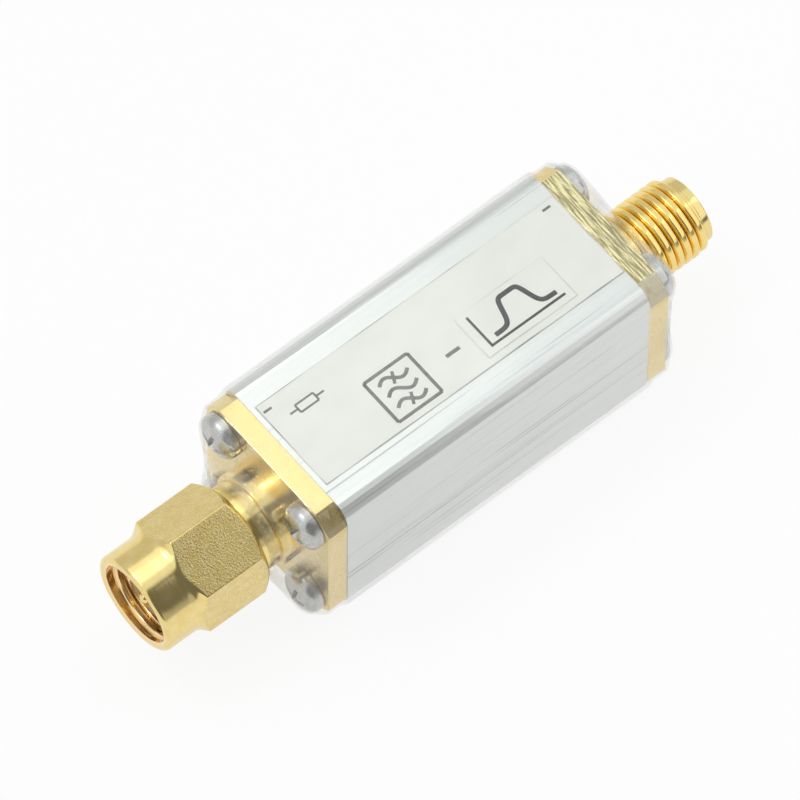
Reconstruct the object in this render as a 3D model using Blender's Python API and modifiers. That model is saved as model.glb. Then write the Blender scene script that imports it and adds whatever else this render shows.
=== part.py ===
"""In-line coaxial band-pass filter in a clear heat-shrink sleeve.

A short square aluminium extrusion holds a filter board in two slots. A four-hole
flange connector closes each end: a plug with a captive coupling nut at -X, and a
jack at +X. Eight pan-head screws hold the flanges, a paper label lies on the top
face, and a clear sleeve is shrunk over the whole body and the screw heads.

Units are metres and +Z is up. The origin is on the underside of the sleeve, below
the middle of the extrusion. Both connectors are drawn standing up: height 0 is the
flange's mounting face, and height grows towards the mating end.
"""

import math

import bmesh
import bpy
from mathutils import Matrix

MM = 0.001

# Clearances
SEAT = 0.01 * MM
RUNNING_GAP = 0.1 * MM
SLIP_GAP = 0.03 * MM
SCREW_GAP = 0.08 * MM
EDGE_BREAK = 0.12 * MM

# Coaxial line inside both connectors: 4.1 mm over 1.27 mm
LINE_INNER_RADIUS = 0.635 * MM
LINE_OUTER_RADIUS = 2.05 * MM
PIN_RADIUS = 0.46 * MM
PIN_REACH = 2.1 * MM
PIN_TAPER_LENGTH = 0.5 * MM
TAIL_LENGTH = 2.8 * MM

# Plug: tube of 4.57 mm that enters the jack, then barrel, neck and collar behind it
PLUG_TUBE_WALL = 0.235 * MM
PLUG_TUBE_LENGTH = 2.25 * MM
PLUG_TUBE_EDGE = 0.05 * MM
BARREL_STEP = 0.815 * MM
BARREL_LENGTH = 4.1 * MM
NECK_STEP = 0.35 * MM
NECK_LENGTH = 1.4 * MM
COLLAR_STEP = 0.35 * MM
COLLAR_LENGTH = 1.5 * MM

# Snap ring that keeps the nut on the barrel
RING_GROOVE_FROM_NECK = 2.0 * MM
RING_GROOVE_DEPTH = 0.45 * MM
RING_THICKNESS = 0.45 * MM
RING_WIDTH = 0.7 * MM
RING_GAP_ANGLE = math.radians(28)

# Jack: socket for the plug's tube, plain collar, and 1/4 inch thread
SOCKET_GAP = 0.015 * MM
SOCKET_DEPTH = 1.93 * MM
JACK_HEIGHT = 9.35 * MM
JACK_COLLAR_WALL = 0.365 * MM
JACK_COLLAR_LENGTH = 0.55 * MM
THREAD_DEPTH = 0.46 * MM
THREAD_CHAMFER = 0.35 * MM
CONTACT_BORE_DEPTH = 3.0 * MM
CONTACT_SLOT_WIDTH = 0.2 * MM
CONTACT_SLOT_DEPTH = 2.2 * MM
CONTACT_PLAY = 0.03 * MM

# Coupling nut, 8 mm across flats
NUT_WALL = 0.45 * MM
NUT_LENGTH = 9.0 * MM
NUT_FRONT_STEP = 0.05 * MM
NUT_FRONT_LENGTH = 2.5 * MM
NUT_FRONT_FILLET = 0.6 * MM
NUT_RIM_ROUNDING = 0.4 * MM
NUT_REAR_CHAMFER = 0.5 * MM
NUT_THREAD_DEPTH = 0.265 * MM
NUT_THREAD_RELIEF = 0.45 * MM
NUT_FACE_TURN = math.radians(26.8)

# Pan-head screws with a cross recess
SCREW_RADIUS = 0.97 * MM
SCREW_LENGTH = 5.0 * MM
SCREW_POINT_LENGTH = 0.5 * MM
SCREW_POINT_TAPER = 0.4 * MM
HEAD_RADIUS = 1.8 * MM
HEAD_HEIGHT = 1.4 * MM
HEAD_SIDE_HEIGHT = 0.45 * MM
HEAD_TO_COLLAR = 0.9 * MM
RECESS_WIDTH = 0.42 * MM
RECESS_TIP_WIDTH = 0.32 * MM
RECESS_SPAN = 1.9 * MM
RECESS_DEPTH = 0.75 * MM
PLUG_SCREW_TURNS = (10, 38, 62, 25)
JACK_SCREW_TURNS = (50, 15, 33, 70)

# Extruded housing and the flanges that match its section, 13.5 mm square
SCREW_EDGE_DISTANCE = 2.15 * MM
TUBE_LENGTH = 27.3 * MM
TUBE_CORNER_RADIUS = 1.5 * MM
TUBE_WALL = 1.1 * MM
BOSS_WALL = 0.75 * MM
SCORE_LINE_DROP = 1.85 * MM
SCORE_LINE_WIDTH = 0.16 * MM
SCORE_LINE_DEPTH = 0.08 * MM
FLANGE_THICKNESS = 1.7 * MM
FLANGE_CHAMFER = 1.5 * MM
FLANGE_HOLE_GAP = 0.18 * MM

# Filter board and its chips
BOARD_THICKNESS = 1.0 * MM
BOARD_SLOT_DEPTH = 0.4 * MM
BOARD_END_GAP = 0.1 * MM
INDUCTOR_LENGTH = 2.0 * MM
INDUCTOR_WIDTH = 1.25 * MM
INDUCTOR_HEIGHT = 1.2 * MM
INDUCTOR_PITCH = 5.6 * MM
CAPACITOR_LENGTH = 1.6 * MM
CAPACITOR_WIDTH = 0.8 * MM
CAPACITOR_HEIGHT = 0.8 * MM
CAPACITOR_OFFSET = 2.4 * MM
TERMINAL_LENGTH = 0.35 * MM
TERMINAL_STEP = 0.04 * MM

# Paper label and the small patch stuck on it
LABEL_WIDTH = 7.9 * MM
LABEL_THICKNESS = 0.05 * MM
LABEL_END_GAP = 0.4 * MM
PATCH_LENGTH = 8.0 * MM
PATCH_WIDTH = 4.0 * MM
PATCH_THICKNESS = 0.03 * MM
PATCH_FROM_JACK_END = 3.8 * MM
PATCH_EDGE_INSET = 0.6 * MM

# Heat-shrink sleeve
FILM_THICKNESS = 0.12 * MM
FILM_SAG = 0.5 * MM
PLUG_MOUTH_GAP = 0.25 * MM
PLUG_MOUTH_REACH = 0.9 * MM
JACK_MOUTH_GAP = 0.1 * MM
JACK_MOUTH_REACH = 0.3 * MM

# Facets
ROUND_STEPS = 36
SMALL_STEPS = 16
ARC_STEPS = 6
WELD = 0.000001
SMOOTH_ANGLE = math.radians(32)

# Radii that follow, from the line outwards
PLUG_TUBE_RADIUS = LINE_OUTER_RADIUS + PLUG_TUBE_WALL
BARREL_RADIUS = PLUG_TUBE_RADIUS + BARREL_STEP
NECK_RADIUS = BARREL_RADIUS + NECK_STEP
COLLAR_RADIUS = NECK_RADIUS + COLLAR_STEP
SOCKET_RADIUS = PLUG_TUBE_RADIUS + SOCKET_GAP
JACK_COLLAR_RADIUS = SOCKET_RADIUS + JACK_COLLAR_WALL
THREAD_RADIUS = JACK_COLLAR_RADIUS + THREAD_DEPTH
RING_GROOVE_RADIUS = BARREL_RADIUS - RING_GROOVE_DEPTH
RING_INNER_RADIUS = RING_GROOVE_RADIUS + RUNNING_GAP
RING_OUTER_RADIUS = RING_INNER_RADIUS + RING_WIDTH
NUT_GROOVE_RADIUS = RING_OUTER_RADIUS + RUNNING_GAP
NUT_ACROSS_FLATS = 2 * (NUT_GROOVE_RADIUS + NUT_WALL)
NUT_FRONT_RADIUS = NUT_ACROSS_FLATS / 2 - NUT_FRONT_STEP
NUT_THREAD_RADIUS = THREAD_RADIUS - NUT_THREAD_DEPTH
SCREW_HOLE_RADIUS = SCREW_RADIUS + SCREW_GAP
BOSS_RADIUS = SCREW_HOLE_RADIUS + BOSS_WALL

# Heights above a connector's mounting face
COLLAR_TOP = FLANGE_THICKNESS + COLLAR_LENGTH
NECK_TOP = COLLAR_TOP + NECK_LENGTH
BARREL_TOP = NECK_TOP + BARREL_LENGTH
PLUG_REFERENCE = BARREL_TOP + PLUG_TUBE_LENGTH
RING_GROOVE_LOW = NECK_TOP + RING_GROOVE_FROM_NECK
RING_LOW = RING_GROOVE_LOW + RUNNING_GAP / 2
NUT_BACK = NECK_TOP + RUNNING_GAP
NUT_FRONT = NUT_BACK + NUT_LENGTH
NUT_THREAD_LOW = BARREL_TOP + NUT_THREAD_RELIEF
JACK_REFERENCE = JACK_HEIGHT - SOCKET_DEPTH
FLANGE_MIDDLE = FLANGE_THICKNESS / 2

# Places across the axis and along it
SCREW_OFFSET = (COLLAR_RADIUS + HEAD_TO_COLLAR + HEAD_RADIUS) / math.sqrt(2)
TUBE_HALF = SCREW_OFFSET + SCREW_EDGE_DISTANCE
FILM_GAP = LABEL_THICKNESS + PATCH_THICKNESS + 3 * SEAT
AXIS_HEIGHT = TUBE_HALF + FILM_GAP + FILM_THICKNESS
BOARD_TOP = -LINE_INNER_RADIUS - SLIP_GAP
PLUG_END = -TUBE_LENGTH / 2 - SEAT
JACK_END = TUBE_LENGTH / 2 + SEAT
CORNERS = ((1, 1), (-1, 1), (-1, -1), (1, -1))


def clear_scene():
    for obj in list(bpy.data.objects):
        bpy.data.objects.remove(obj, do_unlink=True)


def new_collection(name):
    collection = bpy.data.collections.new(name)
    bpy.context.scene.collection.children.link(collection)
    return collection


def new_material(name, colour, roughness, metallic=0.0):
    material = bpy.data.materials.new(name)
    material.use_nodes = True
    shader = material.node_tree.nodes["Principled BSDF"]
    shader.inputs["Base Color"].default_value = (*colour, 1.0)
    shader.inputs["Roughness"].default_value = roughness
    shader.inputs["Metallic"].default_value = metallic
    material.diffuse_color = (*colour, 1.0)
    return material


def new_frame(name, turn, x):
    """An empty on the connector axis, whose own Z runs out of the housing."""
    frame = bpy.data.objects.new(name, None)
    PARTS.objects.link(frame)
    frame.location = (x, 0, AXIS_HEIGHT)
    frame.rotation_euler = (0, turn, 0)
    return frame


def new_part(name, mesh):
    obj = bpy.data.objects.new(name, mesh)
    PARTS.objects.link(obj)
    return obj


def arc(centre, radius, start, end, steps):
    """Points along an arc, both ends included, with angles in radians."""
    points = []
    for i in range(steps + 1):
        angle = start + (end - start) * i / steps
        points.append((centre[0] + radius * math.cos(angle), centre[1] + radius * math.sin(angle)))
    return points


def circle(centre, radius, steps):
    return arc(centre, radius, 0, 2 * math.pi, steps)[:-1]


def rectangle(centre, half_x, half_y):
    return [(centre[0] + x * half_x, centre[1] + y * half_y) for x, y in CORNERS]


def turned(name, profile, steps):
    """A solid of revolution about Z, from (radius, height) points that run down its outer side.

    A profile that starts on the axis also ends there. Any other is a closed loop.
    """
    mesh = bpy.data.meshes.new(name)
    edges = [(i, i + 1) for i in range(len(profile) - 1)]
    if profile[0][0] > 0:
        edges.append((len(profile) - 1, 0))
    mesh.from_pydata([(radius, 0, height) for radius, height in profile], edges, [])
    obj = new_part(name, mesh)
    turn = obj.modifiers.new("Turn", "SCREW")
    turn.axis = "Z"
    turn.angle = 2 * math.pi
    turn.steps = steps
    turn.render_steps = steps
    turn.use_merge_vertices = True
    turn.merge_threshold = WELD
    return obj


def evaluated_mesh(obj):
    bpy.context.view_layer.update()
    return bpy.data.meshes.new_from_object(obj.evaluated_get(bpy.context.evaluated_depsgraph_get()))


def plate(name, outlines, low, high):
    """Flat outlines in the XY plane, the later ones holes, as a solid from low to high."""
    curve = bpy.data.curves.new(name, "CURVE")
    curve.dimensions = "2D"
    curve.fill_mode = "BOTH"
    curve.extrude = (high - low) / 2
    for outline in outlines:
        spline = curve.splines.new("POLY")
        spline.points.add(len(outline) - 1)
        for point, (x, y) in zip(spline.points, outline):
            point.co = (x, y, 0, 1)
        spline.use_cyclic_u = True
    guide = new_part(name, curve)
    mesh = evaluated_mesh(guide)
    bpy.data.objects.remove(guide, do_unlink=True)
    bpy.data.curves.remove(curve)
    mesh.transform(Matrix.Translation((0, 0, (low + high) / 2)))
    shell = bmesh.new()
    shell.from_mesh(mesh)
    bmesh.ops.remove_doubles(shell, verts=shell.verts, dist=WELD)
    bmesh.ops.recalc_face_normals(shell, faces=shell.faces)
    shell.to_mesh(mesh)
    shell.free()
    return new_part(name, mesh)


def combine(target, tool, operation):
    """Join, cut or trim the target with a tool object, which becomes a hidden guide."""
    step = target.modifiers.new(operation.title(), "BOOLEAN")
    step.operation = operation
    step.solver = "EXACT"
    step.object = tool
    PARTS.objects.unlink(tool)
    CUTTERS.objects.link(tool)
    tool.hide_render = True
    tool.display_type = "WIRE"


def finished(obj, material, frame=None):
    """Apply the modifiers, shade by angle, and give the piece its material and frame."""
    mesh = evaluated_mesh(obj)
    mesh.name = obj.name
    obj.modifiers.clear()
    obj.data = mesh
    mesh.shade_smooth()
    mesh.set_sharp_from_angle(angle=SMOOTH_ANGLE)
    mesh.materials.clear()
    mesh.materials.append(material)
    obj.parent = frame
    return obj


def score_line(side, travel):
    """A fine V groove in one side face, met on the way up or on the way down."""
    half = SCORE_LINE_WIDTH / 2
    return [(side * (TUBE_HALF - depth), travel * along - SCORE_LINE_DROP)
            for along, depth in ((-half, 0), (0, SCORE_LINE_DEPTH), (half, 0))]


def housing_outline():
    """Rounded square, counter-clockwise, with a score line in each side face."""
    inner = TUBE_HALF - TUBE_CORNER_RADIUS
    outline = []
    for i, (x, y) in enumerate(CORNERS):
        start = i * math.pi / 2
        outline += arc((x * inner, y * inner), TUBE_CORNER_RADIUS, start, start + math.pi / 2, ARC_STEPS)
        if i == 1:
            outline += score_line(-1, -1)
        if i == 3:
            outline += score_line(1, 1)
    return outline


def board_slot(side):
    """The slot in one side wall that the board's edge slides into, from the top down."""
    wall = side * (TUBE_HALF - TUBE_WALL)
    bottom = wall + side * (BOARD_SLOT_DEPTH + SLIP_GAP)
    top = BOARD_TOP + SLIP_GAP
    low = BOARD_TOP - BOARD_THICKNESS - SLIP_GAP
    return [(wall, top), (bottom, top), (bottom, low), (wall, low)]


def cavity_outline():
    """The hollow of the extrusion, with a screw boss in each corner and two board slots."""
    half = TUBE_HALF - TUBE_WALL
    outline = board_slot(1)[::-1]
    for i, (x, y) in enumerate(CORNERS):
        centre = (x * SCREW_OFFSET, y * SCREW_OFFSET)
        start = (i - 1) * math.pi / 2
        boss = arc(centre, BOSS_RADIUS, start, start - math.pi / 2, ARC_STEPS)
        if i % 2 == 0:
            outline += [(x * half, boss[0][1])] + boss + [(boss[-1][0], y * half)]
        else:
            outline += [(boss[0][0], y * half)] + boss + [(x * half, boss[-1][1])]
        if i == 1:
            outline += board_slot(-1)
    return outline


def make_housing():
    holes = [circle((x * SCREW_OFFSET, y * SCREW_OFFSET), SCREW_HOLE_RADIUS, SMALL_STEPS) for x, y in CORNERS]
    tube = plate("housing_tube", [housing_outline(), cavity_outline()] + holes,
                 -TUBE_LENGTH / 2, TUBE_LENGTH / 2)
    tube.rotation_euler = (math.pi / 2, 0, math.pi / 2)
    tube.location = (0, 0, AXIS_HEIGHT)
    finished(tube, ALUMINIUM)


def flange_plate(name):
    """The square flange, flush with the extrusion, with chamfered corners and four holes."""
    cut = TUBE_HALF - FLANGE_CHAMFER
    outline = []
    for i, (x, y) in enumerate(CORNERS):
        ends = [(x * TUBE_HALF, y * cut), (x * cut, y * TUBE_HALF)]
        outline += ends if i % 2 == 0 else ends[::-1]
    holes = [circle((x * SCREW_OFFSET, y * SCREW_OFFSET), SCREW_RADIUS + FLANGE_HOLE_GAP, SMALL_STEPS)
             for x, y in CORNERS]
    return plate(name, [outline] + holes, 0, FLANGE_THICKNESS)


def step_down(radius, height, edge=EDGE_BREAK):
    """The outer corner of a turned step, with its edge broken."""
    return [(radius - edge, height), (radius, height - edge)]


def bore_cutter(name, radius, low, high):
    return turned(name, [(0, high), (radius, high), (radius, low), (0, low)], ROUND_STEPS)


def make_plug_body(frame):
    groove_top = RING_GROOVE_LOW + RING_THICKNESS + RUNNING_GAP
    profile = [(0, PLUG_REFERENCE)]
    profile += step_down(PLUG_TUBE_RADIUS, PLUG_REFERENCE, PLUG_TUBE_EDGE) + [(PLUG_TUBE_RADIUS, BARREL_TOP)]
    profile += step_down(BARREL_RADIUS, BARREL_TOP)
    profile += [(BARREL_RADIUS, groove_top), (RING_GROOVE_RADIUS, groove_top)]
    profile += [(RING_GROOVE_RADIUS, RING_GROOVE_LOW), (BARREL_RADIUS, RING_GROOVE_LOW)]
    profile += [(BARREL_RADIUS, NECK_TOP)] + step_down(NECK_RADIUS, NECK_TOP) + [(NECK_RADIUS, COLLAR_TOP)]
    profile += step_down(COLLAR_RADIUS, COLLAR_TOP) + [(COLLAR_RADIUS, FLANGE_MIDDLE), (0, FLANGE_MIDDLE)]
    body = flange_plate("plug_body")
    combine(body, turned("plug_barrel_form", profile, ROUND_STEPS), "UNION")
    bore = bore_cutter("plug_bore_cutter", LINE_OUTER_RADIUS, -FLANGE_THICKNESS, PLUG_REFERENCE * 2)
    combine(body, bore, "DIFFERENCE")
    finished(body, GOLD, frame)


def nut_envelope():
    """The turned form that trims the hexagon: round front, flared shoulder, chamfered back."""
    corner = NUT_ACROSS_FLATS / math.sqrt(3)
    outside = corner + NUT_REAR_CHAMFER
    fillet_height = NUT_FRONT - NUT_FRONT_LENGTH
    rim = arc((NUT_FRONT_RADIUS - NUT_RIM_ROUNDING, NUT_FRONT - NUT_RIM_ROUNDING), NUT_RIM_ROUNDING,
              math.pi / 2, 0, ARC_STEPS // 2)
    flare = arc((NUT_FRONT_RADIUS + NUT_FRONT_FILLET, fillet_height), NUT_FRONT_FILLET,
                math.pi, math.radians(225), ARC_STEPS // 2)
    flare_end = (outside, flare[-1][1] - (outside - flare[-1][0]))
    back_slope = NUT_REAR_CHAMFER / (corner - NUT_FRONT_RADIUS)
    back_start = (outside, NUT_BACK + back_slope * (outside - NUT_FRONT_RADIUS))
    return [(0, NUT_FRONT)] + rim + flare + [flare_end, back_start, (NUT_FRONT_RADIUS, NUT_BACK), (0, NUT_BACK)]


def nut_hollow():
    """The nut's bore: mouth, thread, clearance over the barrel, and the snap ring's groove."""
    bore = BARREL_RADIUS + RUNNING_GAP
    mouth = THREAD_RADIUS + RUNNING_GAP
    past = NUT_RIM_ROUNDING
    groove_low = RING_GROOVE_LOW - RUNNING_GAP
    groove_top = RING_LOW + RING_THICKNESS + RUNNING_GAP
    return [(0, NUT_FRONT + past), (mouth, NUT_FRONT + past), (mouth, NUT_FRONT),
            (NUT_THREAD_RADIUS, NUT_FRONT - (mouth - NUT_THREAD_RADIUS)),
            (NUT_THREAD_RADIUS, NUT_THREAD_LOW), (bore, NUT_THREAD_LOW),
            (bore, groove_top), (NUT_GROOVE_RADIUS, groove_top),
            (NUT_GROOVE_RADIUS, groove_low), (bore, groove_low),
            (bore, NUT_BACK - past), (0, NUT_BACK - past)]


def make_nut(frame):
    corner = NUT_ACROSS_FLATS / math.sqrt(3)
    angles = [math.radians(60 * k + 30) - NUT_FACE_TURN for k in range(6)]
    hexagon = [(corner * math.cos(angle), corner * math.sin(angle)) for angle in angles]
    nut = plate("coupling_nut", [hexagon], NUT_BACK, NUT_FRONT)
    combine(nut, turned("nut_form", nut_envelope(), ROUND_STEPS), "INTERSECT")
    combine(nut, turned("nut_hollow_cutter", nut_hollow(), ROUND_STEPS), "DIFFERENCE")
    finished(nut, GOLD, frame)


def make_snap_ring(frame):
    """A flat ring, split so that it springs into the barrel's groove."""
    start = RING_GAP_ANGLE / 2
    end = 2 * math.pi - start
    outline = arc((0, 0), RING_OUTER_RADIUS, start, end, ROUND_STEPS)
    outline += arc((0, 0), RING_INNER_RADIUS, end, start, ROUND_STEPS)
    finished(plate("snap_ring", [outline], RING_LOW, RING_LOW + RING_THICKNESS), STEEL, frame)


def make_dielectric(name, top, frame):
    outer = LINE_OUTER_RADIUS - SLIP_GAP
    inner = LINE_INNER_RADIUS + SLIP_GAP
    bead = turned(name, [(outer, top), (outer, 0), (inner, 0), (inner, top)], ROUND_STEPS)
    finished(bead, DIELECTRIC, frame)


def make_plug_pin(frame):
    shoulder = PLUG_REFERENCE - SEAT
    top = PLUG_REFERENCE + PIN_REACH
    nose = arc((0, top - PIN_TAPER_LENGTH), PIN_TAPER_LENGTH, math.pi / 2, 0, ARC_STEPS // 2)
    squeeze = PIN_RADIUS / PIN_TAPER_LENGTH
    profile = [(0, top)] + [(radius * squeeze, height) for radius, height in nose[1:]]
    profile += [(PIN_RADIUS, shoulder), (LINE_INNER_RADIUS, shoulder)]
    profile += [(LINE_INNER_RADIUS, -TAIL_LENGTH), (0, -TAIL_LENGTH)]
    finished(turned("plug_centre_pin", profile, SMALL_STEPS), GOLD, frame)


def make_jack_body(frame):
    thread_top = JACK_HEIGHT - JACK_COLLAR_LENGTH
    profile = [(0, JACK_HEIGHT)] + step_down(JACK_COLLAR_RADIUS, JACK_HEIGHT)
    profile += [(JACK_COLLAR_RADIUS, thread_top)] + step_down(THREAD_RADIUS, thread_top, THREAD_CHAMFER)
    profile += [(THREAD_RADIUS, FLANGE_MIDDLE), (0, FLANGE_MIDDLE)]
    body = flange_plate("jack_body")
    combine(body, turned("jack_barrel_form", profile, ROUND_STEPS), "UNION")
    bore = bore_cutter("jack_bore_cutter", LINE_OUTER_RADIUS, -FLANGE_THICKNESS, JACK_HEIGHT * 2)
    combine(body, bore, "DIFFERENCE")
    socket = bore_cutter("jack_socket_cutter", SOCKET_RADIUS, JACK_REFERENCE, JACK_HEIGHT * 2)
    combine(body, socket, "DIFFERENCE")
    finished(body, GOLD, frame)


def make_jack_contact(frame):
    """The jack's centre conductor, bored at the front and slotted into four spring fingers."""
    top = JACK_REFERENCE - SEAT
    bore = PIN_RADIUS + CONTACT_PLAY
    lead = (LINE_INNER_RADIUS - bore) / 2
    bottom = top - CONTACT_BORE_DEPTH
    profile = [(0, bottom), (bore, bottom), (bore, top - lead), (bore + lead, top), (LINE_INNER_RADIUS, top),
               (LINE_INNER_RADIUS, -TAIL_LENGTH), (0, -TAIL_LENGTH)]
    contact = turned("jack_centre_contact", profile, SMALL_STEPS)
    across = CONTACT_SLOT_WIDTH / 2
    along = LINE_INNER_RADIUS * 2
    for name, half_x, half_y in (("slot_cutter_x", along, across), ("slot_cutter_y", across, along)):
        slot = plate(name, [rectangle((0, 0), half_x, half_y)], top - CONTACT_SLOT_DEPTH, JACK_HEIGHT)
        combine(contact, slot, "DIFFERENCE")
    finished(contact, GOLD, frame)


def make_screw_mesh():
    """One pan-head screw, with its head's underside at height 0."""
    rise = HEAD_HEIGHT - HEAD_SIDE_HEIGHT
    dome = [(HEAD_RADIUS * x, HEAD_SIDE_HEIGHT + rise * y)
            for x, y in arc((0, 0), 1, math.pi / 2, 0, ARC_STEPS)]
    profile = [(0, HEAD_HEIGHT)] + dome[1:] + [(HEAD_RADIUS, 0), (SCREW_RADIUS, 0)]
    profile += [(SCREW_RADIUS, SCREW_POINT_LENGTH - SCREW_LENGTH)]
    profile += [(SCREW_RADIUS - SCREW_POINT_TAPER, -SCREW_LENGTH), (0, -SCREW_LENGTH)]
    screw = turned("screw", profile, SMALL_STEPS)
    arm = RECESS_SPAN / 2
    half = RECESS_WIDTH / 2
    tip = RECESS_TIP_WIDTH / 2
    cross = [(arm, tip), (half, half), (tip, arm), (-tip, arm), (-half, half), (-arm, tip),
             (-arm, -tip), (-half, -half), (-tip, -arm), (tip, -arm), (half, -half), (arm, -tip)]
    recess = plate("cross_recess_cutter", [cross], HEAD_HEIGHT - RECESS_DEPTH, HEAD_HEIGHT * 2)
    combine(screw, recess, "DIFFERENCE")
    mesh = finished(screw, STEEL).data
    bpy.data.objects.remove(screw, do_unlink=True)
    return mesh


def make_screws(frame, end, turns, mesh):
    """The four screws of one flange, each stopped at its own angle in degrees."""
    for number, ((x, y), turn) in enumerate(zip(CORNERS, turns), 1):
        screw = new_part(f"{end}_screw_{number}", mesh)
        screw.parent = frame
        screw.location = (x * SCREW_OFFSET, y * SCREW_OFFSET, FLANGE_THICKNESS + SEAT)
        screw.rotation_euler = (0, 0, math.radians(turn))


def make_board():
    half_width = TUBE_HALF - TUBE_WALL + BOARD_SLOT_DEPTH
    outline = rectangle((0, 0), TUBE_LENGTH / 2 - BOARD_END_GAP, half_width)
    board = plate("circuit_board", [outline], BOARD_TOP - BOARD_THICKNESS, BOARD_TOP)
    board.location = (0, 0, AXIS_HEIGHT)
    finished(board, BOARD)


def make_chip(name, length, width, height, place, turn, material):
    """A chip part standing on the board, its terminals a little thicker than its body."""
    half = length / 2
    waist = half - TERMINAL_LENGTH
    step = TERMINAL_STEP
    side = [(-half, 0), (-waist, 0), (-waist, step), (waist, step), (waist, 0), (half, 0),
            (half, height), (waist, height), (waist, height - step), (-waist, height - step),
            (-waist, height), (-half, height)]
    chip = plate(name, [side], -width / 2, width / 2)
    chip.rotation_euler = (math.pi / 2, 0, turn)
    chip.location = (*place, AXIS_HEIGHT + BOARD_TOP + SEAT)
    finished(chip, material)


def make_chips():
    """Three inductors in line with the signal, and four capacitors set across it."""
    for i in range(3):
        make_chip(f"inductor_{i + 1}", INDUCTOR_LENGTH, INDUCTOR_WIDTH, INDUCTOR_HEIGHT,
                  ((i - 1) * INDUCTOR_PITCH, 0), 0, FERRITE)
    for i in range(4):
        side = -1 if i % 2 else 1
        make_chip(f"capacitor_{i + 1}", CAPACITOR_LENGTH, CAPACITOR_WIDTH, CAPACITOR_HEIGHT,
                  ((i - 1.5) * INDUCTOR_PITCH, side * CAPACITOR_OFFSET), math.pi / 2, CERAMIC)


def make_label():
    """The label along the top face, and the patch on it towards the jack."""
    low = AXIS_HEIGHT + TUBE_HALF + SEAT
    outline = rectangle((0, 0), TUBE_LENGTH / 2 - LABEL_END_GAP, LABEL_WIDTH / 2)
    finished(plate("label", [outline], low, low + LABEL_THICKNESS), PAPER)

    centre = (TUBE_LENGTH / 2 - PATCH_FROM_JACK_END - PATCH_LENGTH / 2,
              PATCH_EDGE_INSET + PATCH_WIDTH / 2 - LABEL_WIDTH / 2)
    patch_low = low + LABEL_THICKNESS + SEAT
    patch = plate("label_patch", [rectangle(centre, PATCH_LENGTH / 2, PATCH_WIDTH / 2)],
                  patch_low, patch_low + PATCH_THICKNESS)
    finished(patch, PAPER)


def sleeve_angles():
    """Angles round a section: close together over the corners, wider along the flats."""
    body = TUBE_HALF + FILM_GAP
    edge = math.atan2(body - TUBE_CORNER_RADIUS, body)
    corner = math.pi / 2 - 2 * edge
    quarter = [0, edge / 3, edge * 2 / 3]
    quarter += [edge + corner * i / 4 for i in range(5)]
    quarter += [math.pi / 2 - edge * 2 / 3, math.pi / 2 - edge / 3]
    return [k * math.pi / 2 + angle for k in range(4) for angle in quarter]


def rounded_square_reach(angle, half, radius):
    """Distance from the axis to a square with round corners, along one ray."""
    fold = abs((angle + math.pi / 4) % (math.pi / 2) - math.pi / 4)
    if fold <= math.atan2(half - radius, half):
        return half / math.cos(fold)
    centre = (half - radius) * math.sqrt(2)
    off = fold - math.pi / 4
    return centre * math.cos(off) + math.sqrt(radius ** 2 - (centre * math.sin(off)) ** 2)


def sleeve_stations(mouth_radius, mouth_reach):
    """Sections of the film over one end, from the flange's face to the mouth on the barrel.

    Each is the distance past the flange, half size, corner radius, and sag between screws.
    """
    body = TUBE_HALF + FILM_GAP
    head_corner = HEAD_RADIUS + FILM_GAP
    head_half = SCREW_OFFSET + head_corner
    crown = HEAD_HEIGHT + FILM_GAP
    crown_corner = HEAD_RADIUS * 0.6
    turn_in = HEAD_RADIUS * 0.25
    middle = (SCREW_OFFSET + mouth_radius) / 2
    return [(0, body, TUBE_CORNER_RADIUS, 0),
            (HEAD_HEIGHT * 0.4, (body + head_half) / 2, head_corner, FILM_SAG * 0.4),
            (HEAD_HEIGHT * 0.75, head_half, head_corner, FILM_SAG * 0.9),
            (HEAD_HEIGHT, head_half - turn_in, head_corner - turn_in, FILM_SAG),
            (crown, SCREW_OFFSET + crown_corner, crown_corner, FILM_SAG * 0.7),
            (crown + mouth_reach / 2, middle, mouth_radius * 0.7, 0),
            (crown + mouth_reach, mouth_radius, mouth_radius, 0)]


def sleeve_sections():
    """All sections of the film in order along X: place, half size, corner radius and sag."""
    plug = [(PLUG_END - FLANGE_THICKNESS - past, *section)
            for past, *section in sleeve_stations(NECK_RADIUS + PLUG_MOUTH_GAP, PLUG_MOUTH_REACH)]
    jack = [(JACK_END + FLANGE_THICKNESS + past, *section)
            for past, *section in sleeve_stations(THREAD_RADIUS + JACK_MOUTH_GAP, JACK_MOUTH_REACH)]
    return plug[::-1] + jack


def make_sleeve():
    """A film drawn over the body, both flanges and the screw heads, open at both ends."""
    shell = bmesh.new()
    rings = []
    for x, half, radius, sag in sleeve_sections():
        ring = []
        for angle in sleeve_angles():
            reach = rounded_square_reach(angle, half, radius) - sag * math.cos(2 * angle) ** 2
            ring.append(shell.verts.new((x, reach * math.cos(angle), reach * math.sin(angle))))
        rings.append(ring)
    for near, far in zip(rings, rings[1:]):
        for i in range(len(near)):
            shell.faces.new((near[i - 1], far[i - 1], far[i], near[i]))
    bmesh.ops.recalc_face_normals(shell, faces=shell.faces)
    mesh = bpy.data.meshes.new("heat_shrink_sleeve")
    shell.to_mesh(mesh)
    shell.free()
    sleeve = new_part("heat_shrink_sleeve", mesh)
    sleeve.location = (0, 0, AXIS_HEIGHT)
    film = sleeve.modifiers.new("Film", "SOLIDIFY")
    film.thickness = FILM_THICKNESS
    film.offset = 1
    film.use_even_offset = True
    finished(sleeve, FILM)


clear_scene()
PARTS = new_collection("Band_Pass_Filter")
CUTTERS = new_collection("Cutters")

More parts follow.
